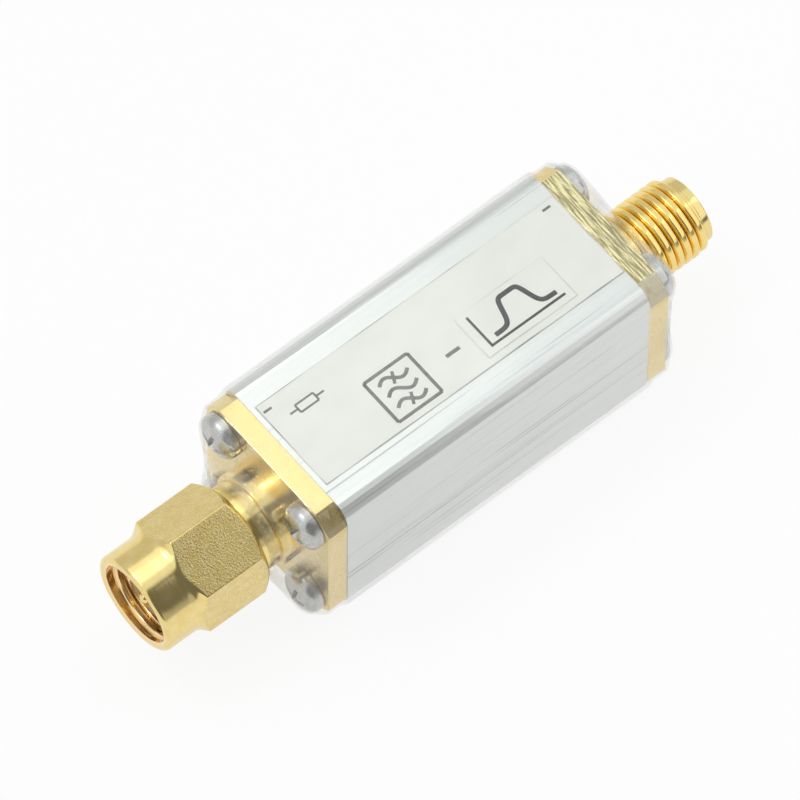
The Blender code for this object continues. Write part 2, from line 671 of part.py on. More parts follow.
ALUMINIUM = new_material("Aluminium", (0.80, 0.83, 0.83), 0.35, 1.0)
GOLD = new_material("Gold plate", (0.85, 0.66, 0.28), 0.22, 1.0)
STEEL = new_material("Plated steel", (0.62, 0.62, 0.60), 0.25, 1.0)
DIELECTRIC = new_material("White dielectric", (0.90, 0.90, 0.87), 0.45)
BOARD = new_material("Glass-fibre board", (0.05, 0.25, 0.12), 0.5)
FERRITE = new_material("Dark ceramic", (0.10, 0.10, 0.11), 0.4)
CERAMIC = new_material("Tan ceramic", (0.55, 0.42, 0.27), 0.4)
PAPER = new_material("Label paper", (0.86, 0.86, 0.80), 0.6)
FILM = new_material("Clear film", (0.90, 0.92, 0.92), 0.12)

PLUG_FRAME = new_frame("plug_axis", -math.pi / 2, PLUG_END)
JACK_FRAME = new_frame("jack_axis", math.pi / 2, JACK_END)
SCREW_MESH = make_screw_mesh()

make_housing()
make_plug_body(PLUG_FRAME)
make_nut(PLUG_FRAME)
make_snap_ring(PLUG_FRAME)
make_dielectric("plug_dielectric", PLUG_REFERENCE - SEAT, PLUG_FRAME)
make_plug_pin(PLUG_FRAME)
make_jack_body(JACK_FRAME)
make_dielectric("jack_dielectric", JACK_REFERENCE - SEAT, JACK_FRAME)
make_jack_contact(JACK_FRAME)
make_screws(PLUG_FRAME, "plug", PLUG_SCREW_TURNS, SCREW_MESH)
make_screws(JACK_FRAME, "jack", JACK_SCREW_TURNS, SCREW_MESH)
make_board()
make_chips()
make_label()
make_sleeve()
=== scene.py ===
# %% [markdown]
# # Dressing a coaxial band-pass filter
# The imported CAD model is the fixed frame of this scene: every piece sits in its metres.
# The lesson gives each piece the form and the finish that the real one shows: gold plate,
# drawn aluminium, a paper label, pan-head screws, and a clear film shrunk over all of them.
# We load the frame first and read the boxes of some of its parts, which give sizes below.

# %% Load the imported model
from functools import partial
from math import atan2, cos, exp, hypot, log, pi, radians, sin, sqrt, tan

import bmesh
import bpy
from mathutils import Matrix, Vector, noise


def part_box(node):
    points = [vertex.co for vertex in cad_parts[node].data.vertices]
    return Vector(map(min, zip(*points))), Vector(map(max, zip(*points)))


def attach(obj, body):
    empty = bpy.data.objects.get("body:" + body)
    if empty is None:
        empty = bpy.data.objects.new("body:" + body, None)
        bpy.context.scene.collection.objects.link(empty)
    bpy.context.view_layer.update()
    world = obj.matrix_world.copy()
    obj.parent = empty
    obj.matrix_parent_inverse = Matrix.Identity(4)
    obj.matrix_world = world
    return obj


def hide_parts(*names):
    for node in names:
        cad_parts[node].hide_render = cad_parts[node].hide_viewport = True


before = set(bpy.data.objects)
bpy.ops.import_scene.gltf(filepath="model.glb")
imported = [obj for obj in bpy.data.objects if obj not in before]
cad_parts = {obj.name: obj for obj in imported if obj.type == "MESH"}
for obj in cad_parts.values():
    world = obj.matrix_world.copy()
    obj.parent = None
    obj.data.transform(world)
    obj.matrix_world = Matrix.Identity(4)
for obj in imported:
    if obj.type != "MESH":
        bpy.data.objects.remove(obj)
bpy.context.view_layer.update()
MM = 0.001
tube_low, tube_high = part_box("housing_tube")
AXIS = (tube_low.z + tube_high.z) / 2
HALF = (tube_high.z - tube_low.z) / 2 / MM


def in_scene(name, data):
    """A new object, linked to the scene."""
    obj = bpy.data.objects.new(name, data)
    bpy.context.scene.collection.objects.link(obj)
    return obj


# %% [markdown]
# The picture is taken with a long lens from high up, so the body's edges stay nearly
# parallel. A camera can be aimed with a Track To constraint or by its matrix. We write the
# matrix from an azimuth, an elevation, a small roll and a distance, so that each of them
# can be read and changed by itself.

# %% Camera
AZIMUTH, ELEVATION, ROLL = radians(39.92), radians(61.01), radians(0.647)
DISTANCE = 844.6 * MM
TARGET = Vector((-2.655, 0.913, 6.98)) * MM

camera = in_scene("Camera", bpy.data.cameras.new("Camera"))
camera.data.lens = 542.5
camera.data.clip_start = 0.05
camera.data.clip_end = 10
ahead = Vector((
    sin(AZIMUTH) * cos(ELEVATION), cos(AZIMUTH) * cos(ELEVATION),
    -sin(ELEVATION)))
aim = ahead.to_track_quat("-Z", "Y").to_matrix().to_4x4()
camera.matrix_world = (
    Matrix.Translation(TARGET - ahead * DISTANCE) @ aim @ Matrix.Rotation(ROLL, 4, "Z"))
bpy.context.scene.camera = camera
print("camera at", [round(c, 4) for c in camera.location])

# %% [markdown]
# Wiring each link of a node tree by hand buries the idea. Short helpers keep a tree readable:
# one makes a node and sets or links its inputs, and the others stand for nodes that repeat.

# %% Helpers for node trees
def feed(tree, target, values):
    """Sets the inputs of a node, or links them to a socket or to a node's first output."""
    for key, value in values.items():
        if isinstance(value, bpy.types.Node):
            value = value.outputs[0]
        if isinstance(value, bpy.types.NodeSocket):
            tree.links.new(value, target.inputs[key])
        else:
            target.inputs[key].default_value = value


def node(tree, kind, inputs=None, **settings):
    """Adds a node, sets its properties and feeds its inputs."""
    made = tree.nodes.new(kind)
    for key, value in settings.items():
        setattr(made, key, value)
    feed(tree, made, inputs or {})
    return made


def ramp(tree, factor, stops):
    """A colour ramp from (position, colour) stops, where a colour may be one grey value."""
    made = node(tree, "ShaderNodeValToRGB", {0: factor})
    elements = made.color_ramp.elements
    while len(elements) < len(stops):
        elements.new(0.5)
    for element, (position, colour) in zip(elements, stops):
        element.position = position
        element.color = (*colour, 1) if isinstance(colour, tuple) else (*(colour,) * 3, 1)
    return made


def calc(tree, operation, *values):
    """One step of arithmetic."""
    return node(tree, "ShaderNodeMath", dict(enumerate(values)), operation=operation)


def blended(tree, share, first, second, **settings):
    """Two colours mixed by a share, each from a link or as three values."""
    first, second = ((*c, 1) if isinstance(c, tuple) else c for c in (first, second))
    return node(tree, "ShaderNodeMix", {0: share, 6: first, 7: second},
                data_type="RGBA", **settings).outputs[2]


print("made 5 helpers for node trees")

# %% [markdown]
# Polished metal shows its surroundings. In the photograph a bright panel hangs overhead, the
# camera's side is dim and the far side is a soft grey. One ramp over the direction of a ray
# says this, lights every view alike and leaves the background white for the camera.

# %% Studio world
LOW_GLOW, DIM_SIDE, OVERHEAD, FAR_SIDE = 0.55, 0.18, (0.95, 1.0, 1.0), (0.70, 0.70, 0.69)
SKY_BANDS = [
    (0.0, LOW_GLOW), (0.02, LOW_GLOW), (0.045, DIM_SIDE), (0.35, DIM_SIDE),
    (0.40, OVERHEAD), (0.72, OVERHEAD), (0.78, FAR_SIDE), (1.0, FAR_SIDE)]

world = bpy.data.worlds.new("Studio")
bpy.context.scene.world = world
world.use_nodes = True
tree = world.node_tree
tree.nodes.clear()
direction = node(tree, "ShaderNodeTexCoord").outputs["Generated"]
towards_y = node(tree, "ShaderNodeSeparateXYZ", {0: direction}).outputs["Y"]
light = ramp(tree, calc(tree, "MULTIPLY_ADD", towards_y, 0.5, 0.5), SKY_BANDS)
is_camera = node(tree, "ShaderNodeLightPath").outputs["Is Camera Ray"]
sky = blended(tree, is_camera, light, (1, 1, 1))
background = node(tree, "ShaderNodeBackground", {"Color": sky, "Strength": 1.0})
node(tree, "ShaderNodeOutputWorld", {"Surface": background})
print("sky has", len(SKY_BANDS), "stops from -Y to +Y")

# %% [markdown]
# A sky looks the same from every point, but in the photograph the faces fall off along their
# length, as near lamps make them. A small key lamp high on the left gives the glints and the
# shadow, a fill lamp lifts the near side, and a softbox over the plug's end whitens the top.

# %% Lamps
def area_lamp(name, place, facing, size, brightness):
    """A rectangular lamp at a place, shining against a direction, with its own brightness."""
    lamp = in_scene(name, bpy.data.lights.new(name, "AREA"))
    lamp.data.shape = "RECTANGLE"
    lamp.data.size, lamp.data.size_y = size
    lamp.data.energy = brightness * pi * size[0] * size[1]
    lamp.location = place
    lamp.rotation_euler = facing.to_track_quat("Z", "Y").to_euler()
    lamp.visible_camera = False
    print(name, "gives", round(lamp.data.energy, 3), "W")


KEY_DISTANCE, KEY_DIRECTION = 0.35, Vector((-0.35, 0.35, 0.87)).normalized()
FILL_DIRECTION = Vector((0.31, -0.64, 0.70)).normalized()
area_lamp("Key_Lamp", KEY_DIRECTION * KEY_DISTANCE, KEY_DIRECTION, (0.07, 0.045), 12.0)
area_lamp("Fill_Lamp", Vector((0.066, -0.058, 0.072)), FILL_DIRECTION, (0.09, 0.11), 0.95)
area_lamp("Softbox", Vector((-0.043, 0.0475, 0.097)), Vector((0, 0, 1)), (0.154, 0.085), 0.52)

# %% [markdown]
# The part lies on a white sheet with only a faint shadow. A plain white floor renders grey,
# because it can't be brighter than its light. So a share of the floor glows: most of it for
# the camera, and less for rays that come from a mirror or through the film.

# %% Floor
FLOOR_HALF, FLOOR_DROP = 3, 0.02
GLOW_SEEN, GLOW_MIRRORED = 0.9, 0.75


def new_material(name):
    """An empty node material with its tree and its Principled shader."""
    made = bpy.data.materials.new(name)
    made.use_nodes = True
    return made, made.node_tree, made.node_tree.nodes["Principled BSDF"]


floor_paint, tree, shader = new_material("Pale_Floor")
feed(tree, shader, {
    "Base Color": (0.9, 0.9, 0.89, 1), "Roughness": 0.9, "Specular IOR Level": 0.0})
path = node(tree, "ShaderNodeLightPath").outputs
mirrored = calc(tree, "MAXIMUM", path["Is Glossy Ray"], path["Is Transmission Ray"])
glow = node(tree, "ShaderNodeEmission", {"Color": (1, 1, 1, 1), "Strength": 1.0})
seen = calc(tree, "MULTIPLY", path["Is Camera Ray"], GLOW_SEEN)
share = calc(tree, "MAXIMUM", seen, calc(tree, "MULTIPLY", mirrored, GLOW_MIRRORED))
surface = node(tree, "ShaderNodeMixShader", {0: share, 1: shader, 2: glow})
feed(tree, tree.nodes["Material Output"], {"Surface": surface})

floor_mesh = bpy.data.meshes.new("Floor")
floor_mesh.from_pydata([(x * FLOOR_HALF, y * FLOOR_HALF, 0) for x, y in (
    (-1, -1), (1, -1), (1, 1), (-1, 1))], [], [(0, 1, 2, 3)])
floor_mesh.materials.append(floor_paint)
floor = in_scene("Floor", floor_mesh)
floor.location.z = -FLOOR_DROP * MM
print("floor is", 2 * FLOOR_HALF, "m wide and lies", FLOOR_DROP, "mm below the part")

# %% [markdown]
# Gold plate is a metal: its colour sits in the reflection, so Metallic is 1 and the colour
# deepens where gold mirrors gold. Turned surfaces keep fine rings from the tool, milled ones
# coarser marks, and the near chamfers get a darker, greyer gold. All are tones and small
# bumps from noise, read from Object coordinates, so they stay in place from every view.
# Mostly the stretch differs.

# %% Gold finishes
def place_of(tree):
    """Object coordinates, which hold a pattern in place on its piece."""
    return node(tree, "ShaderNodeTexCoord").outputs["Object"]


def noise_of(tree, scale, detail=2.0, rough=0.5):
    """Noise from 0 to 1, with its cycles per millimetre along each axis, or one for all."""
    scale = scale if isinstance(scale, tuple) else (scale,) * 3
    stretched = node(tree, "ShaderNodeMapping", {
        "Vector": place_of(tree), "Scale": tuple(s / MM for s in scale)})
    return node(tree, "ShaderNodeTexNoise", {
        "Vector": stretched, "Scale": 1.0, "Detail": detail, "Roughness": rough})


def mottle(tree, scale, detail, *stops):
    """A ramp over noise, for soft patches of tone or shine."""
    return ramp(tree, noise_of(tree, scale, detail), stops)


def coat(tree, shader, colour, roughness, height, distance, metallic=0.0):
    """Sets colour and shine, and a bump whose full height is a distance in millimetres."""
    relief = node(tree, "ShaderNodeBump", {
        "Height": height, "Distance": distance * MM, "Strength": 1.0})
    feed(tree, shader, {
        "Base Color": colour, "Roughness": roughness, "Metallic": metallic, "Normal": relief})


def gold(name, light, deep, patch, grain, height, shine, spread=0.2):
    """A gold plate with patches of tone, a grain with its own stretch, and a shine."""
    made, tree, shader = new_material(name)
    coat(tree, shader,
         mottle(tree, patch, 4.0, (0.5 - spread, deep), (0.5 + spread, light)),
         mottle(tree, grain, 3.0, (0.3, shine[0]), (0.75, shine[1])),
         noise_of(tree, grain, 4.0, 0.6), height, 1.0)
    return made


GOLD_LIGHT, GOLD_DEEP = (0.90, 0.73, 0.34), (0.84, 0.65, 0.25)
TOOL_RINGS = (9, 0.6, 0.6)
turned_gold = gold("Turned_Gold", GOLD_LIGHT, GOLD_DEEP, patch=0.4, grain=TOOL_RINGS,
                   height=0.0015, shine=(0.12, 0.2))
smooth_gold = gold("Smooth_Gold", GOLD_LIGHT, GOLD_DEEP, patch=0.2, grain=1.2,
                   height=0.0012, shine=(0.22, 0.3))
milled_gold = gold("Milled_Gold", (0.93, 0.82, 0.46), (0.34, 0.29, 0.13), patch=(7, 0.6, 0.6),
                   grain=(8, 1.6, 1.6), height=0.03, shine=(0.2, 0.32), spread=0.08)
# a darker, greyer gold, given to the chamfers of the jack's flange on the near (-Y) side
near_chamfer_gold = gold("Near_Chamfer_Gold", (0.66, 0.60, 0.43), (0.56, 0.50, 0.35), patch=0.6, grain=4,
                 height=0.0005, shine=(0.26, 0.36))
thread_gold = gold("Thread_Gold", (0.95, 0.74, 0.29), (0.92, 0.69, 0.24), patch=0.5, grain=3,
                   height=0.001, shine=(0.1, 0.17))


def paint_light_inside(material, low, high, painted_tone):
    """Paints light into a gold plate: a second tone inside a low radius, blended out up to a high
    one.
    """
    tree = material.node_tree
    shader = tree.nodes["Principled BSDF"]
    across = node(tree, "ShaderNodeVectorMath", {
        0: place_of(tree), 1: (0, 1, 1)}, operation="MULTIPLY")
    centred = node(tree, "ShaderNodeVectorMath", {
        0: across, 1: (0, 0, AXIS)}, operation="SUBTRACT")
    radius = node(tree, "ShaderNodeVectorMath", {0: centred}, operation="LENGTH")
    past_painted_light = node(tree, "ShaderNodeMapRange", {
        "Value": radius.outputs["Value"], "From Min": low * MM, "From Max": high * MM})
    tone = shader.inputs["Base Color"].links[0].from_socket
    feed(tree, shader, {"Base Color": blended(tree, past_painted_light, painted_tone, tone)})


# painted shade: below a radius of 2.86 mm the thread's grooves are painted a dark brown
paint_light_inside(thread_gold, 2.72, 2.86, (0.56, 0.38, 0.14))
print("gold finishes:", [m.name for m in bpy.data.materials if "Gold" in m.name])

# %% [markdown]
# The nut has two skins: turned rings on its nose, and a pitted skin on its milled flats. Two
# materials would meet in a hard line. One material that reads an attribute of the mesh can
# blend tone, shine and bump from one skin to the other.

# %% Gold of the nut
nut_gold, tree, shader = new_material("Nut_Gold")
milled = node(tree, "ShaderNodeAttribute", attribute_name="milled").outputs["Fac"]
tone = mottle(tree, 1.2, 3.0, (0.3, GOLD_DEEP), (0.7, GOLD_LIGHT))
speckle = ramp(tree, noise_of(tree, 7, 3.0, 0.7), [(0.4, 0.88), (0.6, 1.0)])
speckled = blended(tree, 1.0, tone, speckle, blend_type="MULTIPLY")
shine = node(tree, "ShaderNodeMix", {
    0: milled, 2: mottle(tree, TOOL_RINGS, 2.0, (0.3, 0.12), (0.7, 0.2)),
    3: mottle(tree, 3, 2.0, (0.3, 0.19), (0.7, 0.27))})
rings = calc(tree, "MULTIPLY", noise_of(tree, TOOL_RINGS, 4.0), 0.045)
skin = node(tree, "ShaderNodeMix", {0: milled, 2: rings, 3: noise_of(tree, 6.5, 4.0, 0.65)})
coat(tree, shader, blended(tree, milled, tone, speckled), shine, skin, 0.025, 1.0)
# painted reflection: inside the mouth the nut's gold is painted an amber tone, as gold mirroring
# gold gives
paint_light_inside(nut_gold, 3.3, 3.42, (0.92, 0.70, 0.40))
print("nut gold has", len(tree.nodes), "nodes")

# %% [markdown]
# The body is a drawn aluminium extrusion. Drawing leaves streaks along its length and a satin
# shine, and handling adds short scratches along the same way. One noise, stretched some eighty
# times along X, gives the streaks, and a second, cut off by a ramp, the scratches. The steel
# of the screws and the moulded dielectric only need a fine grain.

# %% Drawn aluminium, steel, moulded parts
drawn_aluminium, tree, shader = new_material("Drawn_Aluminium")
streak = noise_of(tree, (0.06, 5, 5), 3.0)
tone = ramp(tree, streak, [(0.3, (0.77, 0.79, 0.79)), (0.7, (0.84, 0.85, 0.83))])
scratch = mottle(tree, (0.05, 6, 6), 1.0, (0.67, 0.0), (0.72, 1.0))
coat(tree, shader, blended(tree, scratch, tone, (0.5, 0.51, 0.51)),
     ramp(tree, streak, [(0.3, 0.36), (0.7, 0.44)]), noise_of(tree, (0.08, 9, 9), 4.0), 0.002, 1.0)

plated_steel, tree, shader = new_material("Plated_Steel")
coat(tree, shader, mottle(tree, 1.5, 4.0, (0.3, 0.52), (0.7, (0.63, 0.63, 0.62))),
     mottle(tree, 2, 3.0, (0.3, 0.16), (0.7, 0.3)), noise_of(tree, 3, 3.0), 0.002, 1.0)


def plain(name, tone, other_tone, grain, roughness):
    """A material that is no metal, with two close tones and a fine grain."""
    made, tree, shader = new_material(name)
    coat(tree, shader, mottle(tree, grain, 3.0, (0.35, other_tone), (0.65, tone)),
         mottle(tree, grain, 2.0, (0.3, roughness - 0.06), (0.7, roughness + 0.06)),
         noise_of(tree, grain, 4.0), 0.002)
    return made


white_dielectric = plain("White_Dielectric", (0.86, 0.86, 0.83), (0.80, 0.80, 0.76), 3, 0.45)
print("made", [m.name for m in (drawn_aluminium, plated_steel, white_dielectric)])

# %% [markdown]
# The label and its patch are matt paper with soft blotches. Their cut edges show as thin dark
# lines of shade, broken in places. The paper is too thin for its edge to cast that shade, so
# the material paints that shade where a point lies far enough from the middle of the sheet.

# %% Paper of the label and the patch
LABEL_TO_FLANGE = 0.05


def axes_of(tree):
    """X, Y and Z of the object coordinates."""
    return node(tree, "ShaderNodeSeparateXYZ", {0: place_of(tree)}).outputs


def paper(name, low, high, edge_shade_tone, edge):
    """Paper with soft blotches, and a line of painted shade along its cut edge, broken in places,
    its width in mm.
    """
    made, tree, shader = new_material(name)
    axes = axes_of(tree)
    past = []
    for axis, start, stop in (("X", low.x, high.x), ("Y", low.y, high.y)):
        offset = calc(tree, "SUBTRACT", axes[axis], (start + stop) / 2)
        reach = calc(tree, "ABSOLUTE", offset)
        past.append(calc(tree, "SUBTRACT", reach, (stop - start) / 2 - edge * MM))
    # painted shade: a dark line where a point lies near the sheet's cut edge, broken in places by
    # noise
    in_edge_shade = calc(tree, "GREATER_THAN", calc(tree, "MAXIMUM", *past), 0)
    shade_breaks = mottle(tree, (0.2, 0.3, 0.3), 3.0, (0.4, 0.15), (0.62, 0.9))
    blotches = mottle(tree, (0.35, 0.5, 0.5), 3.0,
                      (0.35, (0.87, 0.87, 0.815)), (0.65, (0.91, 0.91, 0.86)))
    line = calc(tree, "MULTIPLY", in_edge_shade, shade_breaks)
    coat(tree, shader, blended(tree, line, blotches, edge_shade_tone),
         mottle(tree, 0.6, 2.0, (0.3, 0.42), (0.7, 0.52)), noise_of(tree, 0.5, 4.0), 0.004)
    return made


label_low, label_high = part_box("label")
label_high.x = tube_high.x - LABEL_TO_FLANGE * MM
patch_low, patch_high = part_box("label_patch")
# both sheets get a line of painted shade along their cut edges
label_paper = paper("Label_Paper", label_low, label_high, (0.3, 0.3, 0.28), 0.07)
patch_paper = paper("Patch_Paper", patch_low, patch_high, (0.55, 0.55, 0.53), 0.06)
print("label is", round((label_high.x - label_low.x) / MM, 2), "mm long")

# %% [markdown]
# The board and its chips are closed inside the housing, but a cut-away or an opened copy would
# show them. Their CAD nodes keep their shapes and only get finishes. The tinned ends of the
# chips repeat with their pitch, so one wrapped coordinate paints all three inductors.

# %% Board and chips
INDUCTOR_PITCH, INDUCTOR_BARE = 5.6, 0.65
CAPACITOR_OFFSET, CAPACITOR_BARE = 2.4, 0.45
TRACE_HALF_WIDTH = 0.6


def banded(name, body_tone, end_tone, distance, limit):
    """Two tones that change where a distance passes a limit in millimetres."""
    made, tree, shader = new_material(name)
    far = calc(tree, "GREATER_THAN", distance(tree, axes_of(tree)), limit * MM)
    tones = blended(tree, far, body_tone, end_tone)
    grain = mottle(tree, 4, 3.0, (0.3, 0.85), (0.7, 1.0))
    coat(tree, shader, blended(tree, 1.0, tones, grain, blend_type="MULTIPLY"),
         mottle(tree, 5, 2.0, (0.3, 0.3), (0.7, 0.42)), noise_of(tree, 6, 3.0), 0.003)
    return made


def along_inductor(tree, axes):
    half = INDUCTOR_PITCH / 2 * MM
    return calc(tree, "ABSOLUTE", calc(tree, "WRAP", axes["X"], half, -half))


def across_capacitor(tree, axes):
    side = calc(tree, "ABSOLUTE", axes["Y"])
    return calc(tree, "ABSOLUTE", calc(tree, "SUBTRACT", side, CAPACITOR_OFFSET * MM))


TIN = (0.62, 0.62, 0.6)
ferrite = banded("Dark_Ceramic", (0.06, 0.06, 0.065), TIN, along_inductor, INDUCTOR_BARE)
ceramic = banded("Tan_Ceramic", (0.5, 0.37, 0.22), TIN, across_capacitor, CAPACITOR_BARE)
board_mask = banded("Board_Mask", (0.05, 0.26, 0.12), (0.02, 0.14, 0.07),
                    lambda tree, axes: calc(tree, "ABSOLUTE", axes["Y"]), TRACE_HALF_WIDTH)


def dress_node(name, material):
    """Gives a CAD node its finished material, and leaves its shape alone."""
    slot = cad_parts[name].material_slots[0]
    slot.link = "OBJECT"
    slot.material = material


dress_node("circuit_board", board_mask)
for k in range(3):
    dress_node(f"inductor_{k + 1}", ferrite)
for k in range(4):
    dress_node(f"capacitor_{k + 1}", ceramic)
dress_node("label_patch", patch_paper)
print("dressed the board, 3 inductors, 4 capacitors and the patch")

# %% [markdown]
# Most of the connectors is turned on a lathe. A Screw modifier or a Spin can make such a form.
# Here a short helper places the rings itself, because it closes the poles and keeps every
# point in the connector's own frame, where height 0 is the face of the housing. A place matrix
# then lays the plug towards -X and the jack towards +X.

# %% Lathe helper and connector frames
SEAT, WELD, EDGE_STEPS = 0.01, 0.0005, 3
TURN = pi / 2
PLUG_PLACE = Matrix.Translation((tube_low.x - SEAT * MM, 0, AXIS)) @ Matrix.Rotation(-TURN, 4, "Y")
JACK_PLACE = Matrix.Translation((tube_high.x + SEAT * MM, 0, AXIS)) @ Matrix.Rotation(TURN, 4, "Y")


def faced_out(shell):
    """The same bmesh with all its faces turned outwards."""
    bmesh.ops.recalc_face_normals(shell, faces=shell.faces)
    return shell


def lathe(profile, steps=128):
    """A turned shell about Z from (radius, height) points in mm that run down the outer side."""
    shell = bmesh.new()
    turns = [2 * pi * k / steps for k in range(steps)]
    rings = [[shell.verts.new((radius * MM * cos(a), radius * MM * sin(a), height * MM))
              for a in (turns if radius else turns[:1])] for radius, height in profile]
    pairs = list(zip(rings, rings[1:]))
    if profile[0][0]:
        pairs.append((rings[-1], rings[0]))
    for upper, lower in pairs:
        for k in range(steps):
            corners = list(dict.fromkeys((
                upper[k % len(upper)], lower[k % len(lower)],
                lower[(k + 1) % len(lower)], upper[(k + 1) % len(upper)])))
            if len(corners) > 2:
                shell.faces.new(corners)
    return faced_out(shell)


def rounded(radius, height, edge):
    """The points of a small round edge at the top of a turned step."""
    angles = [TURN * k / EDGE_STEPS for k in range(EDGE_STEPS + 1)]
    return [(radius - edge + edge * sin(a), height - (edge - edge * cos(a))) for a in angles]


def piece(name, mesh, materials, smooth=32):
    """A new object at the origin with its materials, shaded by angle."""
    obj = in_scene(name, mesh)
    if not mesh.materials:
        for material in materials:
            mesh.materials.append(material)
    mesh.shade_smooth()
    mesh.set_sharp_from_angle(angle=radians(smooth))
    return obj


def mesh_of(shell, name, place=None):
    """Turns a bmesh into a mesh and lays it in place."""
    mesh = bpy.data.meshes.new(name)
    shell.to_mesh(mesh)
    shell.free()
    if place is not None:
        mesh.transform(place)
    return mesh


def welded(mesh):
    """A bmesh copy of a mesh with its doubled points merged."""
    shell = bmesh.new()
    shell.from_mesh(mesh)
    bmesh.ops.remove_doubles(shell, verts=shell.verts, dist=WELD * MM)
    return shell


def joined(name, meshes):
    """One mesh from several, each keeping its own materials by number."""
    shell = bmesh.new()
    for number, mesh in meshes:
        start = len(shell.faces)
        shell.from_mesh(mesh)
        shell.faces.ensure_lookup_table()
        if number is not None:
            for face in shell.faces[start:]:
                face.material_index = number
    return mesh_of(shell, name)


def settle(obj, body, slot, *nodes):
    """Lets a finished piece ride on its body and stand for its CAD nodes."""
    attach(obj, body)
    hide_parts(*nodes)
    print(obj.name, "has", len(obj.data.polygons), "faces")


def evaluated(obj):
    """The object's mesh with its modifiers applied."""
    bpy.context.view_layer.update()
    graph = bpy.context.evaluated_depsgraph_get()
    return bpy.data.meshes.new_from_object(obj.evaluated_get(graph))


def drop(*objects):
    for obj in objects:
        bpy.data.objects.remove(obj, do_unlink=True)


def crisp(obj):
    """Weighs the shading by face area, so that flats stay flat beside small round edges."""
    step = obj.modifiers.new("Weighted", "WEIGHTED_NORMAL")
    step.keep_sharp = True
    mesh = evaluated(obj)
    obj.modifiers.clear()
    obj.data = mesh
    return obj


print("connector frames at x", [round(p.translation.x / MM, 2) for p in (PLUG_PLACE, JACK_PLACE)])

# %% [markdown]
# A screw thread is a rule: the surface climbs one pitch for each turn, and its height over
# one pitch is a rounded crest between narrow grooves. Sweeping a profile along a spiral is one
# way to build it, but the turns then only overlap. Here Geometry Nodes bend a flat grid round
# the axis instead: one side of the grid runs round, the other across one pitch, and
# neighbouring turns meet edge to edge, where Merge by Distance closes them. The same tree
# makes the nut's inner thread, with a depth below zero.

# %% Thread tree
PITCH = 0.7056
STEPS_PER_TURN, ROW_POINTS, GROOVE_POWER = 72, 25, 4.5


def new_tree(name, inputs, output):
    """A Geometry Nodes tree with named inputs and one geometry output."""
    tree = bpy.data.node_groups.new(name, "GeometryNodeTree")
    for title, kind in inputs:
        tree.interface.new_socket(name=title, in_out="INPUT", socket_type="NodeSocket" + kind)
    tree.interface.new_socket(name=output, in_out="OUTPUT", socket_type="NodeSocketGeometry")
    return tree, tree.nodes.new("NodeGroupInput").outputs


def closed_tree(tree, geometry, material, output):
    """Ends a tree: realizes its geometry, paints it and hands it out."""
    real = node(tree, "GeometryNodeRealizeInstances", {"Geometry": geometry})
    painted = node(tree, "GeometryNodeSetMaterial", {
        "Geometry": real, "Material": material})
    node(tree, "NodeGroupOutput", {output: painted})
    return tree


def thread_tree():
    """Geometry Nodes that wind a thread surface, with its sizes as named inputs."""
    tree, given = new_tree("Wound_Thread", (
        ("Root Radius", "Float"), ("Depth", "Float"), ("Pitch", "Float"),
        ("Start Height", "Float"), ("Fade Turns", "Float"),
        ("Turns", "Int"), ("Material", "Material")), "Thread")
    do = partial(calc, tree)
    steps = do("MULTIPLY_ADD", given["Turns"], STEPS_PER_TURN, 1)
    grid = node(tree, "GeometryNodeMeshGrid", {
        "Size X": 1, "Size Y": 1, "Vertices X": steps, "Vertices Y": ROW_POINTS})
    spot = node(tree, "ShaderNodeSeparateXYZ", {0: node(tree, "GeometryNodeInputPosition")}).outputs
    along = do("ADD", spot["X"], 0.5)
    climb = do("MULTIPLY", along, given["Turns"])
    angle = do("MULTIPLY", climb, 2 * pi)
    turns_left = do("SUBTRACT", given["Turns"], climb)
    near_ends = do("MINIMUM", climb, turns_left)
    fade = do("DIVIDE", near_ends, given["Fade Turns"])
    fade = do("MINIMUM", fade, 1)
    off_crest = do("ABSOLUTE", spot["Y"])
    groove = do("POWER", do("MULTIPLY", off_crest, 2), GROOVE_POWER)
    crest = do("SUBTRACT", 1, groove)
    rise = do("MULTIPLY", do("MULTIPLY", crest, fade), given["Depth"])
    radius = do("ADD", given["Root Radius"], rise)
    turns = do("ADD", climb, spot["Y"])
    height = do("MULTIPLY_ADD", turns, given["Pitch"], given["Start Height"])
    bent = node(tree, "ShaderNodeCombineXYZ", {
        0: do("MULTIPLY", radius, do("COSINE", angle)),
        1: do("MULTIPLY", radius, do("SINE", angle)), 2: height})
    wound = node(tree, "GeometryNodeSetPosition", {"Geometry": grid, "Position": bent})
    merged = node(tree, "GeometryNodeMergeByDistance", {
        "Geometry": wound, "Distance": 0.0001 * MM})
    return closed_tree(tree, merged, given["Material"], "Thread")


def node_form(name, tree, values):
    """The plain mesh that a Geometry Nodes tree makes with these named inputs."""
    start = in_scene(name, bpy.data.meshes.new(name))
    step = start.modifiers.new(tree.name, "NODES")
    step.node_group = tree
    for item in tree.interface.items_tree:
        if item.in_out == "INPUT":
            step[item.identifier] = values[item.name]
    mesh = evaluated(start)
    drop(start)
    return mesh


THREAD = thread_tree()
print("thread tree has", len(THREAD.nodes), "nodes")

# %% [markdown]
# The jack is one turned body: a square flange, a threaded barrel, and a plain collar at the
# front with the socket inside. The flange is a flat outline with chamfered corners and round
# holes. As a 2D curve with a bevel it gets its broken edges in one go. The barrel is turned at
# the root of the thread, and the wound thread lies on it.

# %% Flange outline and jack body
FLANGE_TOP, FLANGE_CHAMFER, FLANGE_EDGE = 1.7, 1.5, 0.07
SCREW_OFFSET, HOLE_RADIUS = 4.6, 1.15
CORNERS = ((1, 1), (-1, 1), (-1, -1), (1, -1))


